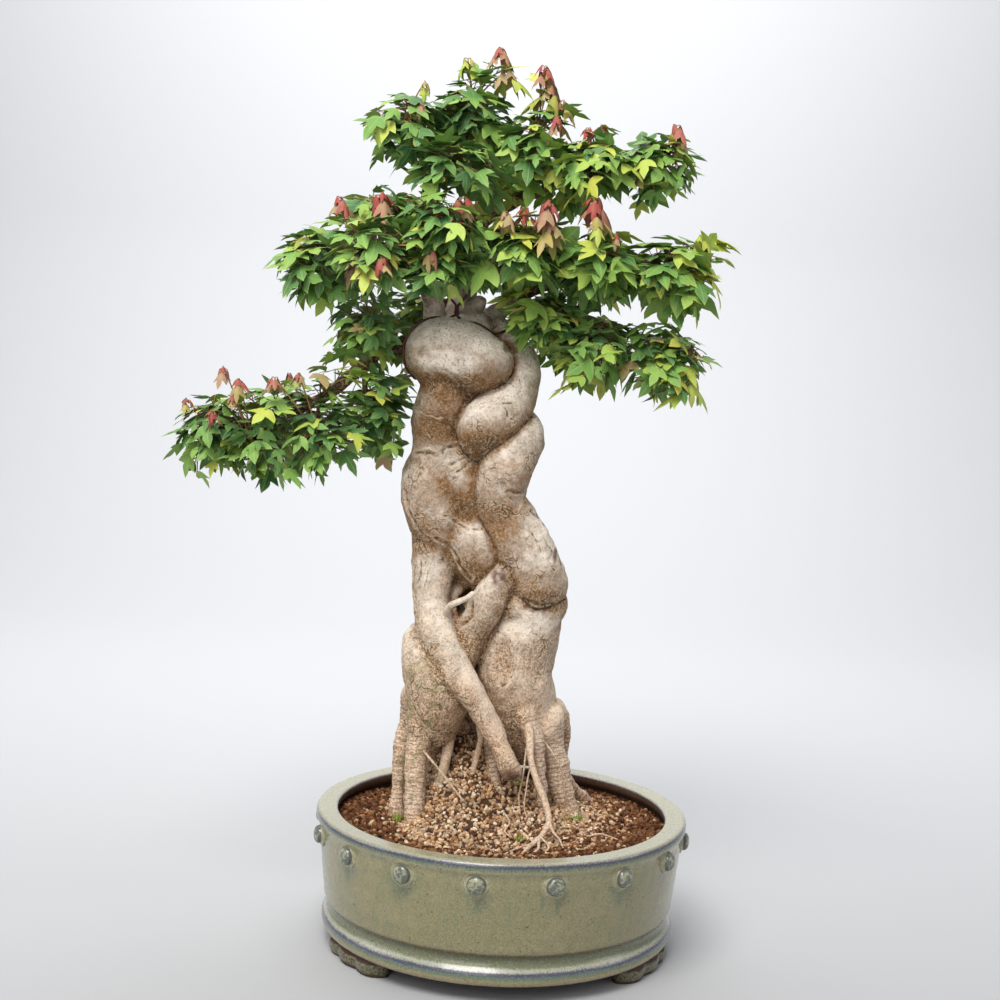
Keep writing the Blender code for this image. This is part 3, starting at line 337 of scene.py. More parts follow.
# Studs. Sixteen round clay buttons stuck on under the lip before glazing, each in a flat halo
# of slip. The glaze runs thin and blue over their crowns.
UP = np.array([0, 0, 1.0])
STUD_SIDES = 28
STUD_SEAT = 179.6
STUD_OUTLINE = [(0, -4), (12.0, -4), (12.2, 0.8), (11.6, 1.6), (10.4, 2.0), (9.4, 2.3), (8.9, 3.0),
                (8.8, 4.4), (8.2, 6.1), (6.9, 7.6), (4.8, 8.6), (2.4, 9.1), (0, 9.2)]


def round_place(angle_degrees, radius, height):
    """A place on the pot, its angle counted from the front and to the right."""
    angle = np.radians(angle_degrees)
    return np.array([radius * np.sin(angle), -radius * np.cos(angle), height])


def joined(solids):
    """Several solids of points and face sets as one."""
    points, quads, triangles, count = [], [], [], 0
    for more_points, face_sets in solids:
        points.append(more_points)
        for part in face_sets:
            (quads if part.shape[1] == 4 else triangles).append(part + count)
        count += len(more_points)
    return np.vstack(points), [np.vstack(part) for part in (quads, triangles) if part]


def stud(number):
    """A button turned on its own axis, then laid square to the pot's wall."""
    degrees = STUD_FIRST + number * 360.0 / STUD_COUNT
    points, faces = turned(rounded_outline(STUD_OUTLINE, 1), STUD_SIDES)
    out = round_place(degrees, 1.0, 0.0)
    across = np.array([-out[1], out[0], 0.0])
    seat = round_place(degrees, STUD_SEAT, STUD_HEIGHT)
    return seat + points[:, 2:] * out + points[:, :1] * across + points[:, 1:2] * UP, faces


def stud_glaze(name):
    """The pot's glaze, pale on the crown and the halo, dark blue-green where it pooled round the button."""
    glaze = Finish(name, Roughness=0.24, Coat_Weight=0.4, Coat_Roughness=0.07)
    spot, (x, y, _) = glaze.place()
    radius = (x * x + y * y) ** 0.5
    blotch = glaze.grain(spot, 4.0, 3.0, 0.6)
    body = glaze.mix(glaze.ease(blotch, 0.4, 0.6), (0.27, 0.255, 0.145), (0.38, 0.36, 0.23))
    past_halo = glaze.ease(radius + blotch * 1.2, 183.2, 184.2)
    pooled = past_halo * (1 - glaze.ease(radius + blotch * 3.5, 187.0, 189.6))
    body = glaze.mix(pooled * 0.88, body, (0.06, 0.078, 0.09))
    crown = glaze.ease(radius, 186.2, 187.6)
    crown_glaze = glaze.mix(glaze.ease(blotch, 0.46, 0.57), (0.075, 0.105, 0.11), (0.29, 0.30, 0.19))
    body = glaze.mix(crown * 0.8, body, crown_glaze)
    glaze.feed("Base Color", body)
    glaze.relief(blotch, 0.3)
    return glaze.material


studs = shaped("pot_studs", *joined([stud(number) for number in range(STUD_COUNT)]))
studs.data.materials.append(stud_glaze("stud_glaze"))
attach(studs, "root")
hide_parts("pot")

# Feet. Three low cloud-shaped feet, pressed in a mould and stuck under the pot's band. The glaze
# stops short of the ground, so their lower edge shows dark bare clay.
FOOT_COUNT = 3
FOOT_FIRST = -57.0
FOOT_HALF_ANGLE = 17.0
FOOT_HEIGHT = 16.0
FOOT_OUTER = 168.0
FOOT_INNER = 146.0
FOOT_LOBE = 3.2
FOOT_TAPER = 9.0
FOOT_SECTION = [(0.02, 0.0), (0.5, 0.0), (0.93, 0.0), (1.0, 0.06), (1.05, 0.22), (1.1, 0.42), (1.12, 0.6),
                (1.06, 0.78), (0.98, 0.92), (0.96, 1.15), (0.5, 1.15), (0.04, 1.15), (0.0, 0.6)]


def foot(number):
    """A section of (share outwards, share of height) carried round an arc.

    Its outer face swells in three lobes, the size of a cosine, and both faces draw in at the ends with
    the eighth power of the way along.
    """
    share = np.linspace(-1, 1, 49)
    section = np.array(FOOT_SECTION)
    swell = FOOT_LOBE * np.abs(np.cos(1.5 * np.pi * share))
    draw_in = FOOT_TAPER * share ** 8
    outer = FOOT_OUTER + swell - draw_in
    inner = FOOT_INNER + draw_in
    radius = inner[:, None] + section[:, 0] * (outer - inner)[:, None]
    angle = np.radians(FOOT_FIRST + number * 360.0 / FOOT_COUNT + share * FOOT_HALF_ANGLE)[:, None]
    height = section[:, 1] * FOOT_HEIGHT * np.ones_like(radius)
    grid = np.stack([radius * np.sin(angle), -radius * np.cos(angle), height], -1)
    poles = grid[[0, -1]].mean(1)
    return np.vstack([grid.reshape(-1, 3), poles]), ring_faces(len(share), len(section))


def foot_glaze(name):
    """Olive glaze, speckled brown, on the middle of each foot; bare dark clay along its two edges."""
    glaze = Finish(name, Coat_Roughness=0.1)
    spot, (_, _, z) = glaze.place()
    pit = glaze.grain(spot, 2.2, 3.0, 0.6)
    cloud = glaze.grain(spot, 11.0, 3.0)
    body = glaze.mix(glaze.ease(pit, 0.40, 0.56), (0.06, 0.04, 0.02), (0.17, 0.16, 0.085))
    body = glaze.mix(glaze.ease(cloud, 0.45, 0.65) * 0.5, body, (0.10, 0.118, 0.07))
    above_sole = glaze.ease(z + (cloud - 0.5) * 6.0, 2.6, 4.4)
    worn = 1 - above_sole * (1 - glaze.ease(z + (cloud - 0.5) * 5.0, 11.6, 13.2))
    body = glaze.mix(worn, body, glaze.mix(pit, (0.035, 0.016, 0.010), (0.085, 0.042, 0.026)))
    glaze.feed("Base Color", body)
    glaze.feed("Roughness", 0.3 + worn * 0.4)
    glaze.feed("Coat Weight", 0.3 - worn * 0.3)
    glaze.relief(pit + cloud * 0.5, 0.35)
    return glaze.material


feet = shaped("pot_feet", *joined([foot(number) for number in range(FOOT_COUNT)]))
feet.data.materials.append(foot_glaze("foot_glaze"))
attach(feet, "root")
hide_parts("pot")

# Drain screens. Black plastic mesh squares laid over the drain holes; the frame's own solids
# already have the right shape and only get their plastic.
mesh_plastic = Finish("black_mesh_plastic", Roughness=0.5)
mesh_spot, _ = mesh_plastic.place()
mesh_colour = mesh_plastic.mix(mesh_plastic.grain(mesh_spot, 3.0), (0.02, 0.02, 0.02), (0.05, 0.05, 0.048))
mesh_plastic.feed("Base Color", mesh_colour)
for screen in ("drain_screen_left", "drain_screen_right"):
    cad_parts[screen].data.materials.clear()
    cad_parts[screen].data.materials.append(mesh_plastic.material)

# Soil. Baked clay granules, reddish brown and damp, that fill the pot to below its lip: a bed
# with a crumbled top, and a layer of single granules laid over it.
SOIL_SIDE = [(0, 26.3), (147.7, 26.3), (156.5, 28.8), (163.4, 42), (169.6, 104), (169.4, 114.6)]
SOIL_RADII = np.linspace(166, 6, 60)
SOIL_RADIUS = 168.5
SOIL_PITCH = 4.3
SOIL_LOOSE_PITCH = 6.2


def lattice_noise(points, size, seed):
    """Smooth noise from -1 to 1: random values on the corners of cubes of that size, blended between."""
    cell = points / size + seed * 31.7
    low = np.floor(cell).astype(np.int64)
    share = cell - low
    share = share * share * (3 - 2 * share)
    total = np.zeros(len(points))
    for corner in np.ndindex(2, 2, 2):
        x, y, z = (low + corner).T
        mixed = (x * 73856093) ^ (y * 19349663) ^ (z * 83492791) ^ (seed * 2654435)
        mixed = (mixed ^ (mixed >> 13)) * 1274126177 & 0x7FFFFFFF
        weight = np.prod(np.where(corner, share, 1 - share), axis=1)
        total += weight * ((mixed >> 7) % 65536 / 32767.5 - 1)
    return total


def soil_height(places):
    """The soil's surface: level, with low heaps and hollows, at (x, y) places."""
    flat = np.column_stack([places[:, :2], np.zeros(len(places))])
    return SOIL_LEVEL + 0.6 + 1.5 * lattice_noise(flat, 36.0, 3) + 0.7 * lattice_noise(flat, 11.0, 4)


def note(item, name, values):
    """A value on every point of a mesh, for its finish to read."""
    layer = item.data.attributes.new(name, "FLOAT", "POINT")
    layer.data.foreach_set("value", values.astype(np.float32))


def crumbs(name, centres, sizes, seed, tones):
    """Granules: icosahedra with every corner pushed in or out, each squashed and turned its own way.

    The twelve corners are the turned pairs of 1 and the golden ratio, 1.9021 from the middle; corners
    nearer than 1.2, on the unit ball, are neighbours. The turn is a random quaternion as a matrix.
    """
    draw = np.random.default_rng(seed)
    golden = (1 + 5 ** 0.5) / 2
    corners = np.array([(0, a, b * golden) for a in (-1, 1) for b in (-1, 1)])
    corners = np.vstack([corners, corners[:, [1, 2, 0]], corners[:, [2, 0, 1]]]) / 1.9021
    near = np.linalg.norm(corners[:, None] - corners[None], axis=2) < 1.2
    faces = np.array([(a, b, c) for a in range(12) for b in range(a + 1, 12) for c in range(b + 1, 12)
                      if near[a, b] and near[b, c] and near[a, c]])
    first, second, third = (corners[faces[:, corner]] for corner in range(3))
    facing = np.einsum("ij,ij->i", first, np.cross(second, third))
    faces[facing < 0] = faces[facing < 0][:, ::-1]
    count = len(centres)
    spin = draw.normal(size=(count, 4))
    w, x, y, z = (spin / np.linalg.norm(spin, axis=1, keepdims=True)).T
    turn = np.stack([1 - 2 * (y * y + z * z), 2 * (x * y - w * z), 2 * (x * z + w * y),
                     2 * (x * y + w * z), 1 - 2 * (x * x + z * z), 2 * (y * z - w * x),
                     2 * (x * z - w * y), 2 * (y * z + w * x), 1 - 2 * (x * x + y * y)], -1)
    turn = turn.reshape(-1, 3, 3)
    shape = corners * draw.uniform(0.78, 1.14, (count, 12, 1)) * draw.uniform(0.72, 1.12, (count, 1, 3))
    points = np.einsum("nij,nkj->nki", turn, shape) * (sizes / 2)[:, None, None] + centres[:, None]
    all_faces = (faces + 12 * np.arange(count)[:, None, None]).reshape(-1, 3)
    item = shaped(name, points.reshape(-1, 3), [all_faces], False)
    note(item, "tone", np.repeat(tones, 12))
    return item


def spread_places(radius, pitch, seed):
    """Places on a disc: a lattice of that pitch in staggered rows, each place shaken by a third of it."""
    draw = np.random.default_rng(seed)
    steps = np.arange(-radius, radius, pitch)
    x, y = np.meshgrid(steps, steps * 0.88)
    x = x + (np.arange(len(steps)) % 2)[:, None] * pitch / 2
    places = np.column_stack([x.ravel(), y.ravel()]) + draw.uniform(-pitch / 3, pitch / 3, (x.size, 2))
    return places[np.linalg.norm(places, axis=1) < radius]


def granule_clay(name):
    """Damp fired clay: every granule its own brown, a few ochre, dull and pitted."""
    clay = Finish(name, Roughness=0.85, Specular_IOR_Level=0.25)
    spot, _ = clay.place()
    tone = clay.carried("tone")
    fine = clay.grain(spot, 0.9, 3.0, 0.6)
    stops = [(0.0, (0.012, 0.005, 0.003)), (0.22, (0.064, 0.022, 0.008)), (0.5, (0.142, 0.054, 0.020)),
             (0.8, (0.28, 0.13, 0.052)), (1.0, (0.60, 0.45, 0.25))]
    body = clay.ramp(tone, stops)
    body = clay.mix(clay.ease(fine, 0.5, 0.7) * 0.35, body, (0.30, 0.135, 0.055))
    clay.feed("Base Color", body)
    clay.relief(fine, 0.5)
    return clay.material


granule_finish = granule_clay("damp_clay_granules")
bed_top = [(radius, SOIL_LEVEL) for radius in SOIL_RADII] + [(0, SOIL_LEVEL)]
bed_points, bed_faces = turned(SOIL_SIDE + bed_top, 120)
on_top = bed_points[:, 2] > SOIL_LEVEL - 0.5
bed_points[on_top, 2] = soil_height(bed_points[on_top]) - 1.2
soil_bed = shaped("soil_bed", bed_points, bed_faces)
# The bed under the granules is near black: painted shade in the gaps between them.
note(soil_bed, "tone", np.full(len(bed_points), 0.06))
soil_draw = np.random.default_rng(41)
soil_places = spread_places(SOIL_RADIUS, SOIL_PITCH, 42)
soil_places = np.vstack([soil_places, spread_places(SOIL_RADIUS, SOIL_LOOSE_PITCH, 43)])
soil_sizes = np.clip(soil_draw.normal(4.9, 1.2, len(soil_places)), 2.8, 8.5)
soil_lift = soil_draw.uniform(-1.2, 1.8, len(soil_places))
soil_centres = np.column_stack([soil_places, soil_height(soil_places) + soil_lift])
soil_tones = soil_draw.beta(2.2, 2.6, len(soil_places))
soil_tones = np.clip(soil_tones + 0.25 * (soil_draw.random(len(soil_places)) > 0.94), 0, 1)
soil_grains = crumbs("soil_granules", soil_centres, soil_sizes, 44, soil_tones)
for piece in (soil_bed, soil_grains):
    piece.data.materials.append(granule_finish)
    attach(piece, "root")
    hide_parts("soil")

# Grit. A mound of pale mixed grit heaped under the exposed roots: tan, pinkish, white and grey
# stones of 2 to 5 mm, thinning out over the brown soil round it.
MOUND_CENTRE = np.array([-5.0, 28.0])
MOUND_AXES = np.array([106.4, 131.1])
MOUND_PEAK_SHIFT = np.array([-44.0, 30.0])
MOUND_HEIGHT = 84.0
MOUND_STEEPNESS = 1.6
MOUND_RINGS = 46
MOUND_SIDES = 120
GRIT_COUNT = 9000
SPILL_COUNT = 620
SPILL_RADIUS = 160


def mound_place(share, angle):
    """The mound's surface: share runs from 1 at its edge to 0 at its peak.

    It rises with a power of what is left of the share, and its edge waves in and out by two sines.
    """
    wobble = 1 + 0.05 * np.sin(3 * angle + 1) + 0.03 * np.sin(7 * angle)
    left = 1 - share
    x = MOUND_CENTRE[0] + share * wobble * MOUND_AXES[0] * np.cos(angle) + left * MOUND_PEAK_SHIFT[0]
    y = MOUND_CENTRE[1] + share * wobble * MOUND_AXES[1] * np.sin(angle) + left * MOUND_PEAK_SHIFT[1]
    z = SOIL_LEVEL + 0.8 + 1.2 * left + MOUND_HEIGHT * left ** MOUND_STEEPNESS
    return np.stack([x, y, z], -1)


def grit_stone(name):
    """Grit: each stone tan, pink, white, brown or grey by its own tone, with a fine sugary speckle."""
    stone = Finish(name, Roughness=0.6, Specular_IOR_Level=0.35)
    spot, _ = stone.place()
    tone = stone.carried("tone")
    fine = stone.grain(spot, 0.8, 3.0, 0.6)
    stops = [(0.0, (0.012, 0.006, 0.003)), (0.12, (0.11, 0.045, 0.018)), (0.26, (0.28, 0.135, 0.055)),
             (0.42, (0.52, 0.30, 0.145)), (0.56, (0.66, 0.44, 0.26)), (0.68, (0.30, 0.245, 0.18)),
             (0.80, (0.76, 0.56, 0.36)), (1.0, (0.95, 0.84, 0.68))]
    body = stone.ramp(tone, stops)
    body = stone.mix(stone.ease(fine, 0.45, 0.65) * 0.3, body, (0.36, 0.20, 0.10))
    stone.feed("Base Color", body)
    stone.relief(fine, 0.4)
    return stone.material


grit_finish = grit_stone("mixed_pale_grit")
heap_share, heap_angle = np.meshgrid(np.linspace(1, 0.02, MOUND_RINGS),
                                     np.linspace(0, 2 * np.pi, MOUND_SIDES, endpoint=False), indexing="ij")
heap_top = mound_place(heap_share, heap_angle).reshape(-1, 3)
heap_top[:, 2] += 0.9 * lattice_noise(heap_top, 9.0, 6) - 1.0
heap_foot = mound_place(np.ones(MOUND_SIDES), heap_angle[0]) - np.array([0, 0, 4.0])
heap_poles = np.array([[*MOUND_CENTRE, SOIL_LEVEL - 3.2], mound_place(0.0, 0.0) - UP])
heap_points = np.vstack([heap_foot, heap_top, heap_poles])
grit_bed = shaped("grit_bed", heap_points, ring_faces(MOUND_RINGS + 1, MOUND_SIDES))
# The bed under the stones is near black: painted shade in the gaps between them.
note(grit_bed, "tone", np.full(len(heap_points), 0.04))
grit_draw = np.random.default_rng(51)
grit_share = np.sqrt(grit_draw.uniform(0.0, 1.12, GRIT_COUNT))
grit_centres = mound_place(np.minimum(grit_share, 1.0), grit_draw.uniform(0, 2 * np.pi, GRIT_COUNT))
spill_angle = grit_draw.uniform(0, 2 * np.pi, SPILL_COUNT)
spill_share = 1 + np.abs(grit_draw.normal(0, 0.13, SPILL_COUNT))
spill = mound_place(spill_share, spill_angle)
spill[:, 2] = soil_height(spill) + 1.4
spill = spill[np.linalg.norm(spill[:, :2], axis=1) < SPILL_RADIUS]
grit_centres[:, 2] += grit_draw.uniform(-1.4, 1.2, GRIT_COUNT) + 0.9 * lattice_noise(grit_centres, 9.0, 6)
grit_centres = np.vstack([grit_centres, spill])
grit_sizes = np.clip(grit_draw.normal(4.1, 1.0, len(grit_centres)), 2.2, 7.0)
grit_tones = np.clip(grit_draw.beta(1.5, 1.5, len(grit_centres)), 0, 1)
grit_grains = crumbs("grit_stones", grit_centres, grit_sizes, 52, grit_tones)
for piece in (grit_bed, grit_grains):
    piece.data.materials.append(grit_finish)
    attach(piece, "root")
    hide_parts("gravel_dressing")

# Trunk. Many roots and stems of living maple that have twisted round each other and grown into
# one: swollen lobes pressed together along dark creases, over a splay of exposed roots.

# Strands and roots: places down each of them with its radius there, (x, y, z, radius).
STRANDS = {
    "head": [(-76, 20, 557, 22), (-85, 7, 584, 30.5), (-63, 0, 586, 32),
             (-39, 4, 577, 29), (-24, 26, 572, 16)],
    "neck": [(-72, 13, 561, 24), (-76, 19, 540, 27.5), (-79, 30, 516, 29), (-78, 35, 494, 29),
             (-76, 38, 467, 34)],
    "curl": [(-54, 62, 618, 20), (-26, 44, 602, 22), (-3, 32, 579, 20), (-4, 22, 549, 23),
             (-22, 8, 526, 27), (-36, 6, 510, 25), (-37, 22, 488, 16)],
    "right_upper": [(8, 38, 518, 14), (5, 22, 504, 21.5), (-9, 12, 480, 27), (-16, 10, 452, 25),
                    (-7, 14, 427, 24)],
    "right_lower": [(-7, 14, 432, 24), (7, 16, 402, 28), (21, 20, 374, 31), (27, 26, 351, 29)],
    "waist": [(10, 26, 340, 24), (32, 30, 336, 26)],
    "belly": [(-78, 40, 472, 31), (-85, 29, 446, 31), (-80, 29, 422, 30), (-73, 35, 399, 27)],
    "belly_right": [(-62, 34, 486, 17), (-58, 25, 468, 22), (-53, 24, 452, 22), (-44, 32, 432, 18)],
    "belly_low": [(-64, 38, 420, 18), (-47, 26, 402, 23), (-37, 24, 388, 25), (-31, 32, 370, 21)],
    "cut_root": [(-83, 34, 406, 22), (-79, 30, 371, 22), (-80, 24, 336, 20), (-73, 12, 308, 20),
                 (-57, -1, 276, 17.5), (-33, -10, 246, 14.3), (-12, -17, 213, 12.6), (3, -22, 186, 11.4),
                 (9, -24, 177, 10.6)],
    "diagonal": [(-7, 10, 364, 14), (-15, 12, 350, 17), (-27, 14, 329, 17.5), (-40, 18, 303, 18),
                 (-52, 26, 272, 18)],
    "right_leg": [(25, 34, 333, 30), (14, 40, 297, 37), (8, 40, 263, 39), (17, 44, 229, 37),
                  (29, 50, 193, 30)],
    "left_bulge": [(-86, 24, 295, 20), (-78, 18, 268, 28), (-69, 18, 241, 32), (-70, 20, 212, 26)],
    "core": [(-50, 40, 600, 28), (-42, 42, 540, 36), (-45, 44, 470, 38), (-42, 48, 410, 36),
             (-30, 52, 365, 32), (-20, 56, 330, 24)],
    "core_left": [(-58, 50, 330, 22), (-64, 52, 262, 26), (-64, 54, 218, 22)],
    "core_right": [(5, 55, 320, 28), (15, 62, 260, 30), (22, 64, 218, 26)],
    "back_rising_left": [(-75, 60, 598, 24), (-45, 78, 560, 27), (-14, 78, 515, 27),
                         (-10, 70, 465, 26), (-25, 80, 420, 28), (-52, 82, 375, 27),
                         (-68, 78, 330, 25), (-72, 80, 280, 27), (-66, 86, 222, 22)],
    "back_rising_right": [(-22, 62, 590, 22), (-48, 84, 512, 24), (-76, 70, 460, 27),
                          (-70, 76, 410, 27), (-30, 88, 365, 28), (10, 84, 325, 28),
                          (22, 86, 275, 28), (18, 90, 222, 24)],
    "back_middle": [(-22, 84, 330, 26), (-18, 90, 272, 22), (-20, 98, 212, 17), (-22, 112, 150, 11),
                    (-26, 138, 96, 9)],
}
ROOTS = {
    "left_outer": [(-94, 30, 236, 14), (-97, 34, 208, 11), (-104, 28, 182, 8.4), (-105, 20, 153, 7.4),
                   (-106, 10, 121, 7.4), (-106, 6, 84, 7)],
    "left_main": [(-78, 16, 232, 20), (-82, 14, 220, 17), (-85, 4, 187, 12), (-87, -8, 149, 10),
                  (-88, -18, 121, 10), (-88, -24, 84, 9)],
    "left_arch": [(-66, 26, 218, 20), (-54, 36, 210, 14), (-44, 48, 201, 9)],
    "left_back": [(-76, 84, 226, 20), (-86, 92, 190, 13), (-94, 106, 150, 10), (-100, 120, 92, 9)],
    "middle": [(-6, 60, 229, 13), (-14, 36, 196, 9), (-10.5, 24, 175, 7.6), (-8.4, 14, 155, 7.2),
               (-7, 8, 138, 6.6)],
    "right_main": [(41, 36, 216, 22), (51, 34, 180, 14), (60, 32, 150, 11.5), (69, 30, 120, 11.3),
                   (74, 30, 94, 10)],
    "right_side": [(53, 64, 219, 15), (61, 70, 195, 9.6), (60, 72, 171, 7.8), (68, 78, 143, 7.6),
                   (88, 92, 119, 7.6), (108, 104, 88, 7)],
    "right_front": [(21, 14, 225, 14), (30, 8, 201, 9.4), (36, 6, 176, 7.4), (41, 4, 139, 7),
                    (44, 2, 98, 7)],
    "inner_left": [(-60, 60, 232, 17), (-64, 68, 204, 13), (-70, 80, 172, 10), (-76, 94, 126, 8)],
    "inner_back": [(-36, 62, 238, 16), (-35, 68, 208, 12), (-33, 78, 178, 9), (-30, 90, 136, 7)],
    "right_back": [(22, 88, 228, 22), (36, 100, 194, 14), (50, 114, 150, 10), (64, 132, 94, 9)],
}
# Strands that have grown into one skin, without a crease and its painted shade between them.
FUSED = {
    "left": ("head", "neck", "belly", "belly_right", "belly_low", "core", "cut_root", "left_bulge",
             "core_left", "left_outer", "left_main", "left_arch", "inner_left", "inner_back"),
    "right": ("right_upper", "right_lower"),
    "leg": ("waist", "right_leg", "core_right", "middle", "right_main", "right_side", "right_front"),
    "back_left": ("back_rising_left", "left_back"),
    "back_right": ("back_rising_right", "right_back"),
}
FUSE_REACH = 3.2
WOOD_VOXEL = 2.24
FRONT_DEPTH = 46
ROOT_RING_PITCH = 4.62
# Healed scars on the front: centre, half width, half height, height of the rim, depth.
SCARS = [((-5, 2, 281), 12.0, 25.0, 1.5, 3.2), ((-46, 8, 333), 9.0, 18.0, 0.0, 12.0),
         ((-10, 8, 594), 9.5, 8.5, 1.3, 0.8), ((-88, 4, 484), 9.0, 2.6, 1.0, 1.6),
         ((-73, 4, 295), 5.0, 4.5, 1.0, 1.2), ((-2, 4, 452), 9.0, 3.4, 1.6, 0.4)]
# Cracks on the front: width, and the (x, z) places of the line.
MARKS = [
    (0.9, [(-103, 528), (-87, 524), (-65, 522)]),
    (1.6, [(-102, 484), (-88, 486), (-77, 484), (-71, 491), (-56, 495)]),
    (1.3, [(-66, 475), (-57, 480), (-47, 487)]),
    (1.3, [(-60, 467), (-52, 473), (-45, 481)]),
    (1.1, [(-70, 424), (-57, 417), (-44, 411), (-30, 412)]),
    (0.9, [(-14, 534), (-10, 530), (-11, 525), (-6, 522)]),
    (0.8, [(-21, 543), (-15, 538), (-8, 540), (-2, 536)]),
    (0.8, [(-3, 566), (2, 556), (-2, 549)]),
    (0.7, [(2, 528), (9, 523), (14, 526)]),
    (1.1, [(-6, 453), (1, 451), (8, 452)]),
    (1.1, [(17, 434), (29, 422), (38, 407), (46, 394), (50, 378)]),
    (0.8, [(18, 413), (25, 402), (28, 392)]),
    (0.7, [(28, 432), (36, 420), (43, 405)]),
    (0.8, [(34, 402), (40, 393), (37, 384), (42, 376)]),
    (1.2, [(-111, 451), (-108, 438), (-103, 425), (-96, 411)]),
    (0.6, [(-98, 411), (-84, 404), (-74, 402)]),
    (1.5, [(-78, 402), (-66, 396), (-58, 386), (-52, 374), (-40, 362)]),
    (0.7, [(-60, 398), (-54, 390), (-50, 380)]),
    (0.9, [(-94, 384), (-92, 363), (-96, 351)]),
    (0.7, [(-88, 376), (-84, 362), (-87, 350)]),
    (0.8, [(-98, 372), (-100, 352), (-97, 340)]),
    (1.4, [(8, 346), (20, 342), (34, 340), (52, 343)]),
    (0.8, [(24, 309), (34, 303), (37, 294), (32, 284)]),
    (0.9, [(-12, 309), (-2, 305), (6, 294), (8, 279), (3, 264), (-5, 255)]),
    (0.6, [(-81, 271), (-56, 253), (-37, 246)]),
    (0.9, [(-97, 236), (-86, 224), (-78, 214), (-75, 206)]),
    (0.8, [(-84, 569), (-70, 566), (-62, 559), (-58, 552)]),
    (0.6, [(-58, 566), (-48, 562), (-42, 554)]),
    (0.8, [(-46, 246), (-40, 240), (-28, 236)]),
]
# Rust-brown spots; holes, filled with painted shadow: centre, half width, half height. Torn ends: centre,
# size.
STAINS = [((42, 0, 390), 2.2, 8.0), ((7, -36, 177), 3.4, 3.6)]
SHADED_HOLES = [((-48, 22, 332), 8.0, 17.0)]
TORN_ENDS = [((-12, -4, 367), 12.0), ((9, -28, 175), 11.0)]
# Patches of painted light on the bark: centre, half width, half height, change of tone, darker above 0:
# painted highlights below 0, painted shade above it.
PAINTED_LIGHT_PATCHES = [((25, 4, 322), 34, 20, -0.75), ((-84, 14, 372), 16, 34, -0.16), ((-72, -20, 573), 38, 15, -0.55),
           ((-64, -8, 545), 36, 11, 0.24), ((-66, -20, 600), 46, 12, -0.1), ((-80, 0, 512), 26, 26, 0.2),
           ((-54, 0, 428), 20, 12, 0.4),
           ((-38, -4, 396), 18, 14, 0.06), ((-62, -4, 468), 12, 14, -0.2), ((-72, 0, 450), 8, 20, 0.2),
           ((-80, -4, 250), 26, 30, 0.12), ((-88, 0, 452), 24, 18, 0.1), ((-40, -18, 498), 30, 15, 0.34),
           ((8, -12, 250), 30, 40, -0.14), ((14, -10, 384), 30, 16, -0.12), ((20, -8, 352), 34, 10, 0.12),
           ((48, 10, 190), 34, 60, -0.5), ((-92, 0, 160), 24, 50, -0.1), ((-18, -12, 460), 22, 16, -0.08)]


def curve_through(places, per_span):
    """Catmull-Rom curve: between two places, the cubic that their neighbours bend.

    Every column is bent alike, so a radius can follow the three axes.
    """
    rows = np.asarray(places, float)
    rows = np.vstack([2 * rows[0] - rows[1], rows, 2 * rows[-1] - rows[-2]])
    share = (np.arange(per_span) / per_span)[:, None]
    a, b, c, d = (part[:, None] for part in (rows[:-3], rows[1:-2], rows[2:-1], rows[3:]))
    spans = 0.5 * (2 * b + (c - a) * share + (2 * a - 5 * b + 4 * c - d) * share ** 2
                   + (3 * b - a - 3 * c + d) * share ** 3)
    return np.vstack([spans.reshape(-1, rows.shape[1]), rows[-2]])


def bars(paths, radii, sides):
    """Closed bars, all with the same number of rings: a circle carried along each path, square to it.

    paths is (bars, rings, 3) and radii is (bars, rings). The circle's first arm is turned the least
    from ring to ring: what lies along the path is taken out of it.
    """
    along = np.gradient(paths, axis=1)
    along /= np.linalg.norm(along, axis=2, keepdims=True) + 1e-9
    level = np.abs(along[:, :1, 2]) < 0.8
    arm = np.cross(along[:, 0], np.where(level, np.array([[0, 0, 1.0]]), np.array([[1.0, 0, 0]])))
    arms = []
    for ring in range(paths.shape[1]):
        arm = arm - along[:, ring] * np.einsum("ij,ij->i", arm, along[:, ring])[:, None]
        arm = arm / (np.linalg.norm(arm, axis=1, keepdims=True) + 1e-9)
        arms.append(arm)
    arms = np.stack(arms, 1)
    third = np.cross(along, arms)
    turn = np.linspace(0, 2 * np.pi, sides, endpoint=False)
    circle = np.cos(turn)[:, None] * arms[:, :, None] + np.sin(turn)[:, None] * third[:, :, None]
    rings = paths[:, :, None] + radii[:, :, None, None] * circle
    count, steps = paths.shape[:2]
    points = np.concatenate([rings.reshape(count, -1, 3), paths[:, :1], paths[:, -1:]], axis=1)
    shift = (np.arange(count) * (steps * sides + 2))[:, None, None]
    return points.reshape(-1, 3), [(part[None] + shift).reshape(-1, part.shape[1])
                                   for part in ring_faces(steps, sides)]


def nosed(curve):
    """A curve with a round nose at each end, where the radius falls as a quarter circle."""
    angles = np.array([1.4, 1.15, 0.85, 0.45])
    start, end = curve[0], curve[-1]
    back = (start - curve[1])[:3] / np.linalg.norm((start - curve[1])[:3])
    out = (end - curve[-2])[:3] / np.linalg.norm((end - curve[-2])[:3])
    head, tail = (
        np.column_stack([tip[:3] + np.outer(np.sin(angles), way) * tip[3], np.cos(angles) * tip[3]])
        for tip, way in ((start, back), (end, out)))
    return np.vstack([head, curve, tail[::-1]])


def unit(rows):
    """Every row at length 1."""
    return rows / (np.linalg.norm(rows, axis=-1, keepdims=True) + 1e-9)


def strand_bar(places, sides=32):
    """One strand as a closed bar with round noses."""
    curve = nosed(curve_through(places, 12))
    return bars(curve[None, :, :3], curve[None, :, 3], sides)


